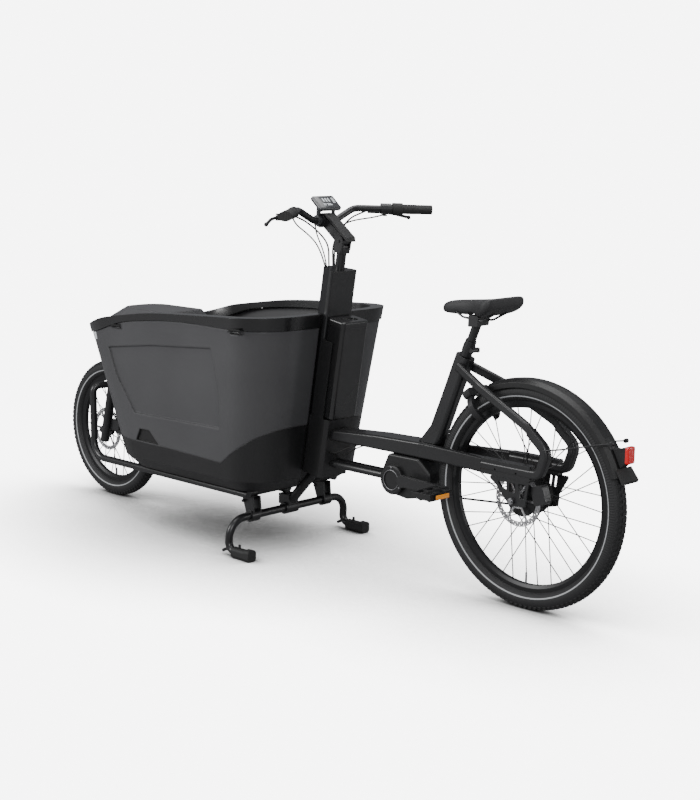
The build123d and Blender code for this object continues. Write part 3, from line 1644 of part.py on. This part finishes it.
# Ring lock: a horseshoe round the tyre under the seatstays, shown open.
lock_angle = 126
lock_radius = 322
lock_width = 20
lock_centre = around_rear_wheel(lock_angle, lock_radius - 22)
lock_plane = Plane(
    origin=lock_centre, x_dir=(0, 1, 0),
    z_dir=(sin(radians(lock_angle)), 0, -cos(radians(lock_angle))),
)
with BuildPart() as ring_lock:
    with BuildSketch(lock_plane):
        Circle(56)
        Circle(43, mode=Mode.SUBTRACT)
        with Locations((0, -78)):
            Rectangle(60, 90, mode=Mode.SUBTRACT)
    extrude(amount=lock_width / 2, both=True)
    with BuildSketch(lock_plane):
        with Locations((0, 50)):
            RectangleRounded(96, 26, 9)
        Circle(43, mode=Mode.SUBTRACT)
    extrude(amount=lock_width / 2 + 4, both=True)
save(ring_lock, "ring_lock")
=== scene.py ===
"""Looks of the cargo bicycle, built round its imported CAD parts. Metres, in the row frame."""

import json
import math

import bpy
from mathutils import Matrix, Vector

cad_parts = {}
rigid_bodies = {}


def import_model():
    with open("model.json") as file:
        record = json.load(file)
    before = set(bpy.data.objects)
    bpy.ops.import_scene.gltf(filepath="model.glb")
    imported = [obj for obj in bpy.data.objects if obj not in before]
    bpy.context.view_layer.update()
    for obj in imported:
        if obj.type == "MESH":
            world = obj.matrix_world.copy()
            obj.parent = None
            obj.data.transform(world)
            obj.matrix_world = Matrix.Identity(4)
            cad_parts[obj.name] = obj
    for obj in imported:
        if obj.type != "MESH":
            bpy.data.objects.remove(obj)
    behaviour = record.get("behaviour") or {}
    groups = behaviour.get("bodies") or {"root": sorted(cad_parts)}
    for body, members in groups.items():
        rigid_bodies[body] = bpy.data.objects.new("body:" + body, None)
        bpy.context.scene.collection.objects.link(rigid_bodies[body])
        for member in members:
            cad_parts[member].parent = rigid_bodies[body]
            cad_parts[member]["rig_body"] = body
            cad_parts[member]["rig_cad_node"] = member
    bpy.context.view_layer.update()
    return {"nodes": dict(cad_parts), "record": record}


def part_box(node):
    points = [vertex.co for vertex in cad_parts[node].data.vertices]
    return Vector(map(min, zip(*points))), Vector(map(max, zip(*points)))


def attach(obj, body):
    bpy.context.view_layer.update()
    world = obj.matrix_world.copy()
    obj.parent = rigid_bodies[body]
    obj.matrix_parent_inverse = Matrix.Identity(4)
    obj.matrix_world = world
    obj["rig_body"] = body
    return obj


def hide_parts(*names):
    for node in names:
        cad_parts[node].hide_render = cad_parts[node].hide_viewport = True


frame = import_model()

RECORD = frame["record"]
REAR_RADIUS = 0.3345
FRONT_RADIUS = 0.258
REAR_AXLE = (0.946, 0.0, REAR_RADIUS)
FRONT_AXLE = (-1.040, 0.0, FRONT_RADIUS)
REAR_TREAD_BLOCKS = 118
FRONT_TREAD_BLOCKS = 91
# The box's side leans out by SIDE_SLOPE per metre of height, from SIDE_BASE at the ground.
SIDE_SLOPE = 0.1
SIDE_BASE = 0.2405
SIDE_ANGLE = math.radians(5.7)
RIM_MARGIN = 0.004
SCREEN_TILT = math.radians(41)
SCREEN_PLACE = (0.102, 0, 1.156)
SPOKE_COAT = 0.0005
HOSE_COAT = 0.0004
WHITE = 7.0


def ahead(distance):
    """Row x of a point this far ahead of the rear axle."""
    return REAR_AXLE[0] - distance


# ---------------------------------------------------------------- materials


class Shader:
    """A material's node tree, with short ways to add and join nodes."""

    def __init__(self, name):
        self.material = bpy.data.materials.new(name)
        self.material.use_nodes = True
        self.nodes = self.material.node_tree.nodes
        self.links = self.material.node_tree.links
        self.surface = self.nodes["Principled BSDF"]
        self.place = self.add("ShaderNodeTexCoord").outputs["Object"]

    def add(self, kind, **values):
        node = self.nodes.new(kind)
        for key, value in values.items():
            setattr(node, key, value)
        return node

    def join(self, source, target):
        self.links.new(source, target)

    def noise(self, scale, detail=3.0, roughness=0.55):
        node = self.add("ShaderNodeTexNoise")
        node.inputs["Scale"].default_value = scale
        node.inputs["Detail"].default_value = detail
        node.inputs["Roughness"].default_value = roughness
        self.join(self.place, node.inputs["Vector"])
        return node.outputs["Fac"]

    def ramp(self, source, stops):
        node = self.add("ShaderNodeValToRGB")
        elements = node.color_ramp.elements
        while len(elements) < len(stops):
            elements.new(0.5)
        for element, (position, colour) in zip(elements, stops):
            element.position = position
            element.color = (*colour, 1.0)
        self.join(source, node.inputs["Fac"])
        return node.outputs["Color"]

    def math(self, operation, first, second=None):
        node = self.add("ShaderNodeMath", operation=operation)
        for socket, value in zip(node.inputs, (first, second)):
            if value is None:
                continue
            if isinstance(value, (int, float)):
                socket.default_value = value
            else:
                self.join(value, socket)
        return node.outputs["Value"]

    def spread(self, source, low, high):
        node = self.add("ShaderNodeMapRange")
        node.inputs["From Min"].default_value = 0.3
        node.inputs["From Max"].default_value = 0.7
        node.inputs["To Min"].default_value = low
        node.inputs["To Max"].default_value = high
        self.join(source, node.inputs["Value"])
        return node.outputs["Result"]

    def blend(self, factor, first, second):
        node = self.add("ShaderNodeMix", data_type="RGBA")
        self.join(factor, node.inputs["Factor"])
        for index, value in ((6, first), (7, second)):
            if isinstance(value, tuple):
                node.inputs[index].default_value = (*value, 1.0)
            else:
                self.join(value, node.inputs[index])
        return node.outputs[2]

    def relief(self, height, strength, distance, edge=0.0):
        bump = self.add("ShaderNodeBump")
        bump.inputs["Strength"].default_value = strength
        bump.inputs["Distance"].default_value = distance
        self.join(height, bump.inputs["Height"])
        if edge:
            soft = self.add("ShaderNodeBevel", samples=4)
            soft.inputs["Radius"].default_value = edge
            self.join(soft.outputs["Normal"], bump.inputs["Normal"])
        self.join(bump.outputs["Normal"], self.surface.inputs["Normal"])


def shade(tone, factor):
    """A tone made darker or lighter."""
    return tuple(min(1.0, channel * factor) for channel in tone)


def finish_of(name, tone, rough, grain, relief, edge=0.0, metal=0.0, coat=0.0, wear=0.25):
    """A surface with a grained relief, uneven gloss and a little change of tone."""
    shader = Shader(name)
    broad = shader.noise(3.2, 2.0)
    fine = shader.noise(grain, 4.0, 0.6)
    mixed = shader.math("MULTIPLY_ADD", fine, 0.35)
    shader.join(broad, mixed.node.inputs[2])
    tone_out = shader.ramp(
        mixed, [(0.45, shade(tone, 1 - wear)), (0.9, shade(tone, 1 + wear))]
    )
    shader.join(tone_out, shader.surface.inputs["Base Color"])
    shader.join(
        shader.spread(broad, rough - 0.05, rough + 0.07), shader.surface.inputs["Roughness"]
    )
    shader.surface.inputs["Metallic"].default_value = metal
    shader.surface.inputs["Coat Weight"].default_value = coat
    shader.surface.inputs["Coat Roughness"].default_value = 0.12
    shader.relief(fine, relief, 0.0004, edge)
    return shader


def from_axis(shader, axle):
    """Distance of the surface point from a wheel's axle line, and its angle round it."""
    split = shader.add("ShaderNodeSeparateXYZ")
    shader.join(shader.place, split.inputs["Vector"])
    x = shader.math("SUBTRACT", split.outputs["X"], axle[0])
    z = shader.math("SUBTRACT", split.outputs["Z"], axle[2])
    squares = shader.math("ADD", shader.math("MULTIPLY", x, x), shader.math("MULTIPLY", z, z))
    return shader.math("SQRT", squares), shader.math("ARCTAN2", z, x)


def band(shader, value, low, high):
    """1 where the value lies between two limits, or else 0."""
    above = shader.math("GREATER_THAN", value, low)
    below = shader.math("LESS_THAN", value, high)
    return shader.math("MULTIPLY", above, below)


def tyre_finish(name, axle, outer):
    """Tyre rubber with a pale reflective stripe and fine ribs on its side walls."""
    shader = finish_of(name, (0.016, 0.016, 0.017), 0.62, 420.0, 0.25)
    radius, angle = from_axis(shader, axle)
    stripe = band(shader, radius, outer - 0.0385, outer - 0.0345)
    tone = shader.surface.inputs["Base Color"].links[0].from_socket
    shader.join(
        shader.blend(stripe, tone, (0.42, 0.43, 0.44)), shader.surface.inputs["Base Color"]
    )
    ribs = shader.math("SINE", shader.math("MULTIPLY", angle, 260.0))
    walls = band(shader, radius, outer - 0.031, outer - 0.016)
    height = shader.math("MULTIPLY", ribs, walls)
    rings = shader.math("SINE", shader.math("MULTIPLY", radius, 2200.0))
    both = shader.math("ADD", height, shader.math("MULTIPLY", rings, 0.35))
    shader.relief(both, 0.5, 0.0005)
    return shader.material


def disc_finish(name, axle):
    """Brake steel, ground in rings."""
    shader = finish_of(name, (0.52, 0.52, 0.53), 0.3, 300.0, 0.1, metal=1.0)
    radius = from_axis(shader, axle)[0]
    rings = shader.math("SINE", shader.math("MULTIPLY", radius, 9000.0))
    shader.relief(rings, 0.35, 0.0002)
    return shader.material


def belt_finish():
    """Belt rubber with cross ribs."""
    shader = finish_of("belt", (0.022, 0.022, 0.022), 0.55, 300.0, 0.2)
    wave = shader.add("ShaderNodeTexWave", wave_type="BANDS", bands_direction="X")
    wave.inputs["Scale"].default_value = 28.0
    shader.join(shader.place, wave.inputs["Vector"])
    shader.relief(wave.outputs["Fac"], 0.6, 0.0012)
    return shader.material


def grip_finish():
    """Grip rubber with a diamond pattern of raised ribs."""
    shader = finish_of("grip_rubber", (0.018, 0.018, 0.018), 0.7, 500.0, 0.3)
    waves = []
    for direction in ("X", "Y"):
        wave = shader.add("ShaderNodeTexWave", wave_type="BANDS", bands_direction=direction)
        wave.inputs["Scale"].default_value = 55.0
        shader.join(shader.place, wave.inputs["Vector"])
        waves.append(wave.outputs["Fac"])
    shader.relief(shader.math("MULTIPLY", *waves), 0.7, 0.001)
    return shader.material


def saddle_finish():
    """Matt synthetic leather with a pebbled skin."""
    shader = finish_of("saddle_skin", (0.02, 0.02, 0.021), 0.55, 260.0, 0.2)
    cells = shader.add("ShaderNodeTexVoronoi")
    cells.inputs["Scale"].default_value = 420.0
    shader.join(shader.place, cells.inputs["Vector"])
    shader.relief(cells.outputs["Distance"], 0.35, 0.0008)
    return shader.material


def lamp_finish(name, tone, glow, scale):
    """A translucent lens with moulded prisms."""
    shader = finish_of(name, tone, 0.18, 200.0, 0.1, coat=0.6, wear=0.1)
    cells = shader.add("ShaderNodeTexVoronoi", distance="CHEBYCHEV")
    cells.inputs["Scale"].default_value = scale
    shader.join(shader.place, cells.inputs["Vector"])
    shader.relief(cells.outputs["Distance"], 0.4, 0.001)
    shader.surface.inputs["Emission Color"].default_value = (*tone, 1.0)
    shader.surface.inputs["Emission Strength"].default_value = glow
    return shader.material


def box_finish():
    """Satin moulded grey, with painted shade, near black, inside the step pocket of each side."""
    shader = finish_of(
        "box_grey", (0.062, 0.062, 0.065), 0.42, 1100.0, 0.2, edge=0.009, wear=0.1
    )
    split = shader.add("ShaderNodeSeparateXYZ")
    shader.join(shader.place, split.inputs["Vector"])
    x, y, z = (split.outputs[key] for key in "XYZ")
    outer = shader.math("ADD", shader.math("MULTIPLY", z, SIDE_SLOPE), SIDE_BASE)
    depth = shader.math("SUBTRACT", outer, shader.math("ABSOLUTE", y))
    inside = shader.math("MULTIPLY", band(shader, depth, 0.0015, 0.0095), band(
        shader, x, ahead(1.509), ahead(1.376)))
    # Painted shade: the recessed faces of the step pocket are blended to near black.
    pocket = shader.math("MULTIPLY", inside, band(shader, z, 0.314, 0.366))
    tone = shader.surface.inputs["Base Color"].links[0].from_socket
    shader.join(
        shader.blend(pocket, tone, (0.008, 0.008, 0.008)), shader.surface.inputs["Base Color"]
    )
    return shader.material


FINISHES = {
    "frame_paint": finish_of(
        "frame_paint", (0.012, 0.012, 0.013), 0.36, 900.0, 0.12, edge=0.0015, coat=0.15
    ).material,
    "fork_paint": finish_of(
        "fork_paint", (0.011, 0.011, 0.012), 0.34, 900.0, 0.12, edge=0.001, coat=0.2
    ).material,
    "box_grey": box_finish(),
    "black_plastic": finish_of(
        "black_plastic", (0.010, 0.010, 0.0105), 0.42, 1300.0, 0.3, edge=0.002
    ).material,
    "battery_case": finish_of(
        "battery_case", (0.006, 0.006, 0.0065), 0.26, 700.0, 0.015, edge=0.004, coat=0.5
    ).material,
    "rubber_black": finish_of(
        "rubber_black", (0.014, 0.014, 0.014), 0.62, 600.0, 0.3
    ).material,
    "rim": finish_of("rim", (0.012, 0.012, 0.013), 0.33, 700.0, 0.08, metal=0.3).material,
    "spoke": finish_of("spoke", (0.02, 0.02, 0.021), 0.36, 500.0, 0.05, metal=0.4).material,
    "hub": finish_of("hub", (0.02, 0.02, 0.021), 0.32, 700.0, 0.1, 0.0006, metal=0.4).material,
    "disc": disc_finish("disc", REAR_AXLE),
    "steel": finish_of("steel", (0.36, 0.36, 0.37), 0.3, 800.0, 0.1, metal=1.0).material,
    "alloy_black": finish_of(
        "alloy_black", (0.014, 0.014, 0.015), 0.34, 900.0, 0.12, edge=0.0008, coat=0.1
    ).material,
    "belt": belt_finish(),
    "screen": finish_of(
        "screen", (0.045, 0.047, 0.05), 0.24, 700.0, 0.05, edge=0.001, coat=0.7
    ).material,
    "lamp_white": lamp_finish("lamp_white", (0.85, 0.87, 0.9), 0.3, 160.0),
    "lamp_red": lamp_finish("lamp_red", (0.6, 0.004, 0.004), 0.22, 220.0),
    "saddle_cover": saddle_finish(),
}
REAR_TYRE = tyre_finish("rear_tyre_rubber", REAR_AXLE, REAR_RADIUS)
FRONT_TYRE = tyre_finish("front_tyre_rubber", FRONT_AXLE, FRONT_RADIUS)
FRONT_DISC = disc_finish("front_disc_steel", FRONT_AXLE)
GRIP = grip_finish()
# Pedal reflectors: amber with a painted glow, as if lit, though they are no lamp.
AMBER_GLOW = lamp_finish("amber_reflector_glow", (0.9, 0.3, 0.01), 0.25, 500.0)
PALE_METAL = finish_of(
    "pale_metal", (0.3, 0.3, 0.31), 0.34, 600.0, 0.1, edge=0.0006, metal=0.8
).material
PALE_SEGMENT = lamp_finish("pale_segment", (0.6, 0.63, 0.65), 0.5, 900.0)

RIM_PLASTIC = finish_of(
    "rim_plastic", (0.008, 0.008, 0.0085), 0.26, 900.0, 0.12, edge=0.003, coat=0.35
).material

SPECIAL = {
    "box_rim": RIM_PLASTIC, "rear_tyre": REAR_TYRE, "front_tyre": FRONT_TYRE,
    "front_disc": FRONT_DISC, "grips": GRIP,
}

for part in RECORD["subparts"]:
    node = frame["nodes"][part["node"]]
    node.data.materials.clear()
    node.data.materials.append(
        SPECIAL.get(part["node"], FINISHES.get(part["material_slot"]))
    )

# Spokes and brake hoses are shown a little thicker than they are, so that they read from afar.
for name, thicker in (
    ("rear_spokes", SPOKE_COAT), ("front_spokes", SPOKE_COAT), ("brake_hoses", HOSE_COAT)
):
    modifier = frame["nodes"][name].modifiers.new("coat", "DISPLACE")
    modifier.mid_level = 0.0
    modifier.strength = thicker

# ---------------------------------------------------------------- making pieces


def clear_selection():
    """Nothing selected, so that the next call acts on its own piece."""
    for item in list(bpy.context.selected_objects):
        item.select_set(False)


def settle(piece, name, material, body, smooth=None):
    """Names a piece, puts its place in its mesh, and hands it to its body."""
    clear_selection()
    bpy.context.view_layer.objects.active = piece
    piece.select_set(True)
    bpy.ops.object.transform_apply(location=True, rotation=True, scale=True)
    if smooth:
        bpy.ops.object.shade_smooth_by_angle(angle=math.radians(smooth))
    piece.name = name
    piece.data.name = name
    piece.data.materials.clear()
    piece.data.materials.append(material)
    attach(piece, body)
    return piece


def bevel(piece, width, segments=2):
    """Rounded edges, applied."""
    modifier = piece.modifiers.new("edge", "BEVEL")
    modifier.width = width
    modifier.segments = segments
    bpy.ops.object.modifier_apply(modifier="edge")


def block(name, centre, size, material, body, turn=(0, 0, 0), edge=0.0008):
    """A box with softened edges."""
    clear_selection()
    bpy.ops.mesh.primitive_cube_add(size=1, location=centre, rotation=turn)
    piece = bpy.context.object
    piece.scale = size
    bpy.ops.object.transform_apply(location=False, rotation=False, scale=True)
    if edge:
        bevel(piece, edge)
    return settle(piece, name, material, body, smooth=35)


def rod(name, start, end, radius, material, body, edge=0.0004, sides=24):
    """A round bar between two points."""
    clear_selection()
    first, last = Vector(start), Vector(end)
    run = last - first
    turn = run.to_track_quat("Z", "Y").to_euler()
    bpy.ops.mesh.primitive_cylinder_add(
        vertices=sides, radius=radius, depth=run.length, location=(first + last) / 2,
        rotation=turn,
    )
    piece = bpy.context.object
    if edge:
        bevel(piece, edge)
    return settle(piece, name, material, body, smooth=40)


def cable(name, points, radius, body, material=None):
    """A smooth round line through these points, ends capped."""
    clear_selection()
    bpy.ops.curve.primitive_nurbs_path_add(location=(0, 0, 0))
    piece = bpy.context.object
    line = piece.data.splines[0]
    line.points.add(len(points) - len(line.points))
    for knot, place in zip(line.points, points):
        knot.co = (*place, 1.0)
    line.use_endpoint_u = True
    line.order_u = 4
    line.resolution_u = 8
    piece.data.dimensions = "3D"
    piece.data.bevel_depth = radius
    piece.data.bevel_resolution = 3
    piece.data.use_fill_caps = True
    bpy.ops.object.convert(target="MESH")
    piece = bpy.context.object
    return settle(piece, name, material or FINISHES["rubber_black"], body, smooth=60)


def join(name, pieces):
    """Several pieces of one body made into one."""
    clear_selection()
    for item in pieces:
        item.select_set(True)
    bpy.context.view_layer.objects.active = pieces[0]
    bpy.ops.object.join()
    pieces[0].name = name
    return pieces[0]


# ---------------------------------------------------------------- tyres' tread


def tread(name, body, axle, outer, count, material):
    """Rows of low rubber blocks round a tyre."""
    rows = []
    for row, (across, drop, wide, long, lift) in enumerate(
        ((-0.0045, 0.0001, 0.0064, 0.0105, 0.0), (0.0045, 0.0001, 0.0064, 0.0105, 0.5),
         (-0.0135, 0.0028, 0.0064, 0.0115, 0.5), (0.0135, 0.0028, 0.0064, 0.0115, 0.0),
         (-0.0205, 0.0088, 0.0052, 0.0100, 0.0), (0.0205, 0.0088, 0.0052, 0.0100, 0.5))
    ):
        angle = lift * 2 * math.pi / count
        radius = outer - drop - 0.0006
        lean_over = math.asin(max(-0.95, min(0.95, across / 0.0275)))
        place = Matrix.Translation(Vector(axle)) @ Matrix.Rotation(angle, 4, "Y") @ (
            Matrix.Translation((0, across, radius)) @ Matrix.Rotation(-lean_over, 4, "X")
        )
        clear_selection()
        bpy.ops.mesh.primitive_cube_add(size=1)
        piece = bpy.context.object
        piece.scale = (long, wide, 0.0046)
        bpy.ops.object.transform_apply(location=False, rotation=False, scale=True)
        bevel(piece, 0.0005, 1)
        piece.matrix_world = place
        bpy.ops.object.transform_apply(location=True, rotation=True, scale=True)
        bpy.ops.object.mode_set(mode="EDIT")
        bpy.ops.mesh.select_all(action="SELECT")
        bpy.ops.mesh.spin(
            steps=count, dupli=True, angle=2 * math.pi, center=axle, axis=(0, 1, 0)
        )
        bpy.ops.mesh.select_all(action="SELECT")
        bpy.ops.mesh.remove_doubles(threshold=0.00002)
        bpy.ops.mesh.normals_make_consistent(inside=False)
        bpy.ops.object.mode_set(mode="OBJECT")
        rows.append(settle(piece, f"{name}_{row}", material, body))
    return join(name, rows)


tread("rear_tread", "rear_wheel", REAR_AXLE, REAR_RADIUS, REAR_TREAD_BLOCKS, REAR_TYRE)
tread(
    "front_tread", "front_wheel", FRONT_AXLE, FRONT_RADIUS, FRONT_TREAD_BLOCKS, FRONT_TYRE
)

# Valve stems.
rod("rear_valve", (0.946, 0, 0.068), (0.946, 0, 0.105), 0.0032, PALE_METAL, "rear_wheel")
rod("front_valve", (-1.04, 0, 0.066), (-1.04, 0, 0.1), 0.0032, PALE_METAL, "front_wheel")

# ---------------------------------------------------------------- saddle

clear_selection()
source = frame["nodes"]["saddle"]
saddle = source.copy()
saddle.data = source.data.copy()
bpy.context.scene.collection.objects.link(saddle)
saddle.parent = None
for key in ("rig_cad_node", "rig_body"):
    if key in saddle:
        del saddle[key]
bpy.context.view_layer.objects.active = saddle
saddle.select_set(True)
bpy.ops.object.mode_set(mode="EDIT")
bpy.ops.mesh.select_all(action="SELECT")
bpy.ops.mesh.remove_doubles(threshold=0.00002)
bpy.ops.mesh.normals_make_consistent(inside=False)
bpy.ops.object.mode_set(mode="OBJECT")
for label, kind, values in (
    ("even", "REMESH", {"mode": "VOXEL", "voxel_size": 0.0035}),
    ("soften", "SMOOTH", {"factor": 0.6, "iterations": 14}),
    ("finer", "SUBSURF", {"levels": 1, "render_levels": 1}),
):
    modifier = saddle.modifiers.new(label, kind)
    for key, value in values.items():
        setattr(modifier, key, value)
    bpy.ops.object.modifier_apply(modifier=label)
bpy.ops.object.shade_smooth()
settle(saddle, "saddle_pad", FINISHES["saddle_cover"], "seat")
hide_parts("saddle")

# ---------------------------------------------------------------- trim

for side in (-1, 1):
    tag = "left" if side < 0 else "right"
    cable(
        f"{tag}_fender_stay",
        [(1.052, side * 0.078, 0.498), (1.09, side * 0.075, 0.504), (1.14, side * 0.064, 0.516),
         (1.2, side * 0.046, 0.53), (1.23, side * 0.038, 0.537), (1.258, side * 0.034, 0.542)],
        0.0024, "frame", FINISHES["frame_paint"],
    )
    rod(f"{tag}_stay_clamp", (1.252, side * 0.030, 0.541), (1.252, side * 0.040, 0.541), 0.0065,
        FINISHES["alloy_black"], "frame")
    low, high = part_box(f"{tag}_pedal")
    body = f"pedal_{tag}"
    middle_y = (low.y + high.y) / 2
    middle_z = (low.z + high.z) / 2
    # Amber reflectors at each end of the pedal, with a painted glow.
    for number, x in enumerate((low.x - 0.0008, high.x + 0.0008)):
        block(f"{tag}_pedal_reflector_{number}", (x, middle_y, middle_z), (0.0045, 0.056, 0.013),
              AMBER_GLOW, body)

# Thin cables: round the bars to the mast, and under the beam to the motor.
cable("shifter_cable", [(0.170, 0.214, 1.116), (0.148, 0.185, 1.103), (0.118, 0.130, 1.098),
      (0.100, 0.078, 1.086), (0.104, 0.040, 1.052), (0.116, 0.020, 1.005),
      (0.121, 0.017, 0.9455)], 0.0027, "cockpit")
cable("display_cable", [(0.104, -0.012, 1.138), (0.086, -0.030, 1.116), (0.086, -0.042, 1.080),
      (0.100, -0.034, 1.035), (0.115, -0.021, 0.992), (0.120, -0.017, 0.9455)], 0.0024, "cockpit")
cable("left_switch_cable", [(0.170, -0.214, 1.114), (0.140, -0.176, 1.094),
      (0.108, -0.118, 1.074), (0.092, -0.062, 1.048), (0.104, -0.030, 1.010),
      (0.119, -0.021, 0.9455)], 0.0026, "cockpit")
cable("motor_cable_a", [(ahead(0.842), -0.022, 0.372), (ahead(0.812), -0.03, 0.352),
      (ahead(0.770), -0.034, 0.346), (ahead(0.730), -0.03, 0.366), (ahead(0.690), -0.024, 0.386),
      (ahead(0.660), -0.02, 0.392)], 0.0026, "frame")
cable("motor_cable_b", [(ahead(0.842), -0.006, 0.366), (ahead(0.806), -0.012, 0.34),
      (ahead(0.760), -0.016, 0.334), (ahead(0.716), -0.014, 0.358), (ahead(0.676), -0.012, 0.384),
      (ahead(0.640), -0.01, 0.392)], 0.0022, "frame")

# Motor cover: a pale ring and three screws.
low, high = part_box("motor_cover")
cover = ((low.x + high.x) / 2, low.y, (low.z + high.z) / 2)
clear_selection()
bpy.ops.mesh.primitive_torus_add(
    major_radius=0.031, minor_radius=0.0014, major_segments=64, minor_segments=10,
    location=(cover[0], cover[1], cover[2]), rotation=(math.radians(90), 0, 0),
)
settle(bpy.context.object, "motor_ring", PALE_METAL, "frame", smooth=60)
for number in range(3):
    turn = math.radians(90 + 120 * number)
    x = cover[0] + 0.04 * math.cos(turn)
    z = cover[2] + 0.04 * math.sin(turn)
    rod(f"motor_screw_{number}", (x, cover[1] - 0.0012, z), (x, cover[1] + 0.002, z), 0.0032,
        PALE_METAL, "frame")

# Rim of the box: slots on its near and far side, drawn as near-black sheets of painted shade,
# with a raised lip round each.
SLOT_SHADE = finish_of("slot_shade", (0.003, 0.003, 0.003), 0.7, 500.0, 0.1).material
for side in (-1, 1):
    tag = "left" if side < 0 else "right"
    for number, (front, rear, level) in enumerate(((1.576, 1.529, 0.717), (0.959, 0.904, 0.760))):
        outer = SIDE_BASE + SIDE_SLOPE * level + RIM_MARGIN
        # The slot itself is a near-black sheet of painted shade, not an opening.
        block(f"{tag}_rim_slot_{number}",
              ((ahead(front) + ahead(rear)) / 2, side * (outer + 0.0002), level),
              (front - rear, 0.0022, 0.008), SLOT_SHADE, "frame",
              (-side * SIDE_ANGLE, 0, 0), 0.0009)
        block(f"{tag}_rim_slot_lip_{number}",
              ((ahead(front) + ahead(rear)) / 2, side * (outer + 0.0012), level - 0.0065),
              (front - rear + 0.008, 0.0035, 0.003), RIM_PLASTIC, "frame",
              (-side * SIDE_ANGLE, 0, 0), 0.0008)

# Screen: generic pale segments on the dark glass.
along_screen = Vector((math.cos(SCREEN_TILT), 0, -math.sin(SCREEN_TILT)))
off_screen = Vector((math.sin(SCREEN_TILT), 0, math.cos(SCREEN_TILT)))
screen_middle = Vector(SCREEN_PLACE)


def on_screen(down, across, lift):
    """A point on the screen: down it, across it and off its face."""
    return screen_middle + along_screen * down + Vector((0, across, 0)) + off_screen * lift


turned = (0, SCREEN_TILT, 0)
block("screen_glass", on_screen(0, 0, 0.0003), (0.052, 0.086, 0.0012),
      FINISHES["screen"], "cockpit", turned, 0.0004)
marks = []
for number, (down, across, long, wide) in enumerate(
    ((-0.008, -0.012, 0.016, 0.006), (-0.008, 0.0, 0.016, 0.006), (-0.008, 0.012, 0.016, 0.006),
     (0.010, -0.018, 0.003, 0.014), (0.010, 0.002, 0.003, 0.018), (0.015, -0.018, 0.003, 0.010),
     (0.015, 0.004, 0.003, 0.022), (-0.014, 0.03, 0.004, 0.010), (-0.008, 0.03, 0.004, 0.010),
     (-0.002, 0.03, 0.004, 0.010), (0.004, 0.03, 0.004, 0.010))
):
    marks.append(block(f"screen_mark_{number}", on_screen(down, across, 0.0014),
                       (long, wide, 0.0004), PALE_SEGMENT, "cockpit", turned, 0))
join("screen_marks", marks)

# ---------------------------------------------------------------- stage


def stage_plane():
    """A pale floor that is soft white away from the bicycle and darkens close under it."""
    clear_selection()
    bpy.ops.mesh.primitive_plane_add(size=60, location=(0, 0, -0.001))
    floor = bpy.context.object
    floor.name = "floor"
    shader = Shader("floor")
    shader.surface.inputs["Base Color"].default_value = (0.3, 0.3, 0.305, 1)
    shader.surface.inputs["Roughness"].default_value = 0.7
    cover = shader.add("ShaderNodeAmbientOcclusion", samples=12)
    cover.inputs["Distance"].default_value = 0.75
    open_sky = shader.math("POWER", cover.outputs["AO"], 3.4)
    glow = shader.add("ShaderNodeEmission")
    glow.inputs["Color"].default_value = (1.0, 1.0, 1.0, 1)
    shader.join(shader.math("MULTIPLY", open_sky, WHITE), glow.inputs["Strength"])
    path = shader.add("ShaderNodeLightPath")
    mix = shader.add("ShaderNodeMixShader")
    shader.join(path.outputs["Is Camera Ray"], mix.inputs["Fac"])
    shader.join(shader.surface.outputs["BSDF"], mix.inputs[1])
    shader.join(glow.outputs["Emission"], mix.inputs[2])
    shader.join(mix.outputs["Shader"], shader.nodes["Material Output"].inputs["Surface"])
    floor.data.materials.append(shader.material)


stage_plane()

world = bpy.data.worlds.new("studio")
bpy.context.scene.world = world
world.use_nodes = True
tree = world.node_tree
backdrop = tree.nodes["Background"]
backdrop.inputs["Color"].default_value = (0.93, 0.95, 1.0, 1)
backdrop.inputs["Strength"].default_value = 0.22
seen = tree.nodes.new("ShaderNodeBackground")
seen.inputs["Color"].default_value = (1, 1, 1, 1)
seen.inputs["Strength"].default_value = WHITE
path = tree.nodes.new("ShaderNodeLightPath")
either = tree.nodes.new("ShaderNodeMixShader")
tree.links.new(path.outputs["Is Camera Ray"], either.inputs["Fac"])
tree.links.new(backdrop.outputs["Background"], either.inputs[1])
tree.links.new(seen.outputs["Background"], either.inputs[2])
tree.links.new(either.outputs["Shader"], tree.nodes["World Output"].inputs["Surface"])


def softbox(name, place, target, size, power):
    """A rectangular studio light that faces a target."""
    clear_selection()
    bpy.ops.object.light_add(type="AREA", location=place)
    lamp = bpy.context.object
    lamp.name = name
    lamp.data.shape = "RECTANGLE"
    lamp.data.size, lamp.data.size_y = size
    lamp.data.energy = power
    lamp.rotation_euler = (Vector(target) - Vector(place)).to_track_quat("-Z", "Y").to_euler()


softbox("overhead", (0.2, 0.0, 4.2), (0, 0, 0.3), (4.5, 3.0), 150)
softbox("left_side", (-2.6, -3.8, 2.4), (-0.3, 0, 0.5), (2.2, 2.2), 150)
softbox("key", (4.3, -4.2, 2.8), (0.0, 0, 0.5), (1.2, 2.6), 150)
softbox("far_rear", (3.4, 2.6, 1.3), (0.2, 0, 0.5), (0.5, 2.4), 22)

bpy.ops.object.camera_add(location=(3.5988, -3.4489, 1.3742))
camera = bpy.context.object
right = Vector((0.712571, 0.701549, 0.008410))
up = Vector((-0.127255, 0.117448, 0.984892))
back = Vector((0.689963, -0.702876, 0.172966))
facing = Matrix((right, up, back)).transposed()
camera.rotation_euler = facing.to_euler()
camera.data.sensor_width = 36
camera.data.lens = 68.43
bpy.context.scene.camera = camera
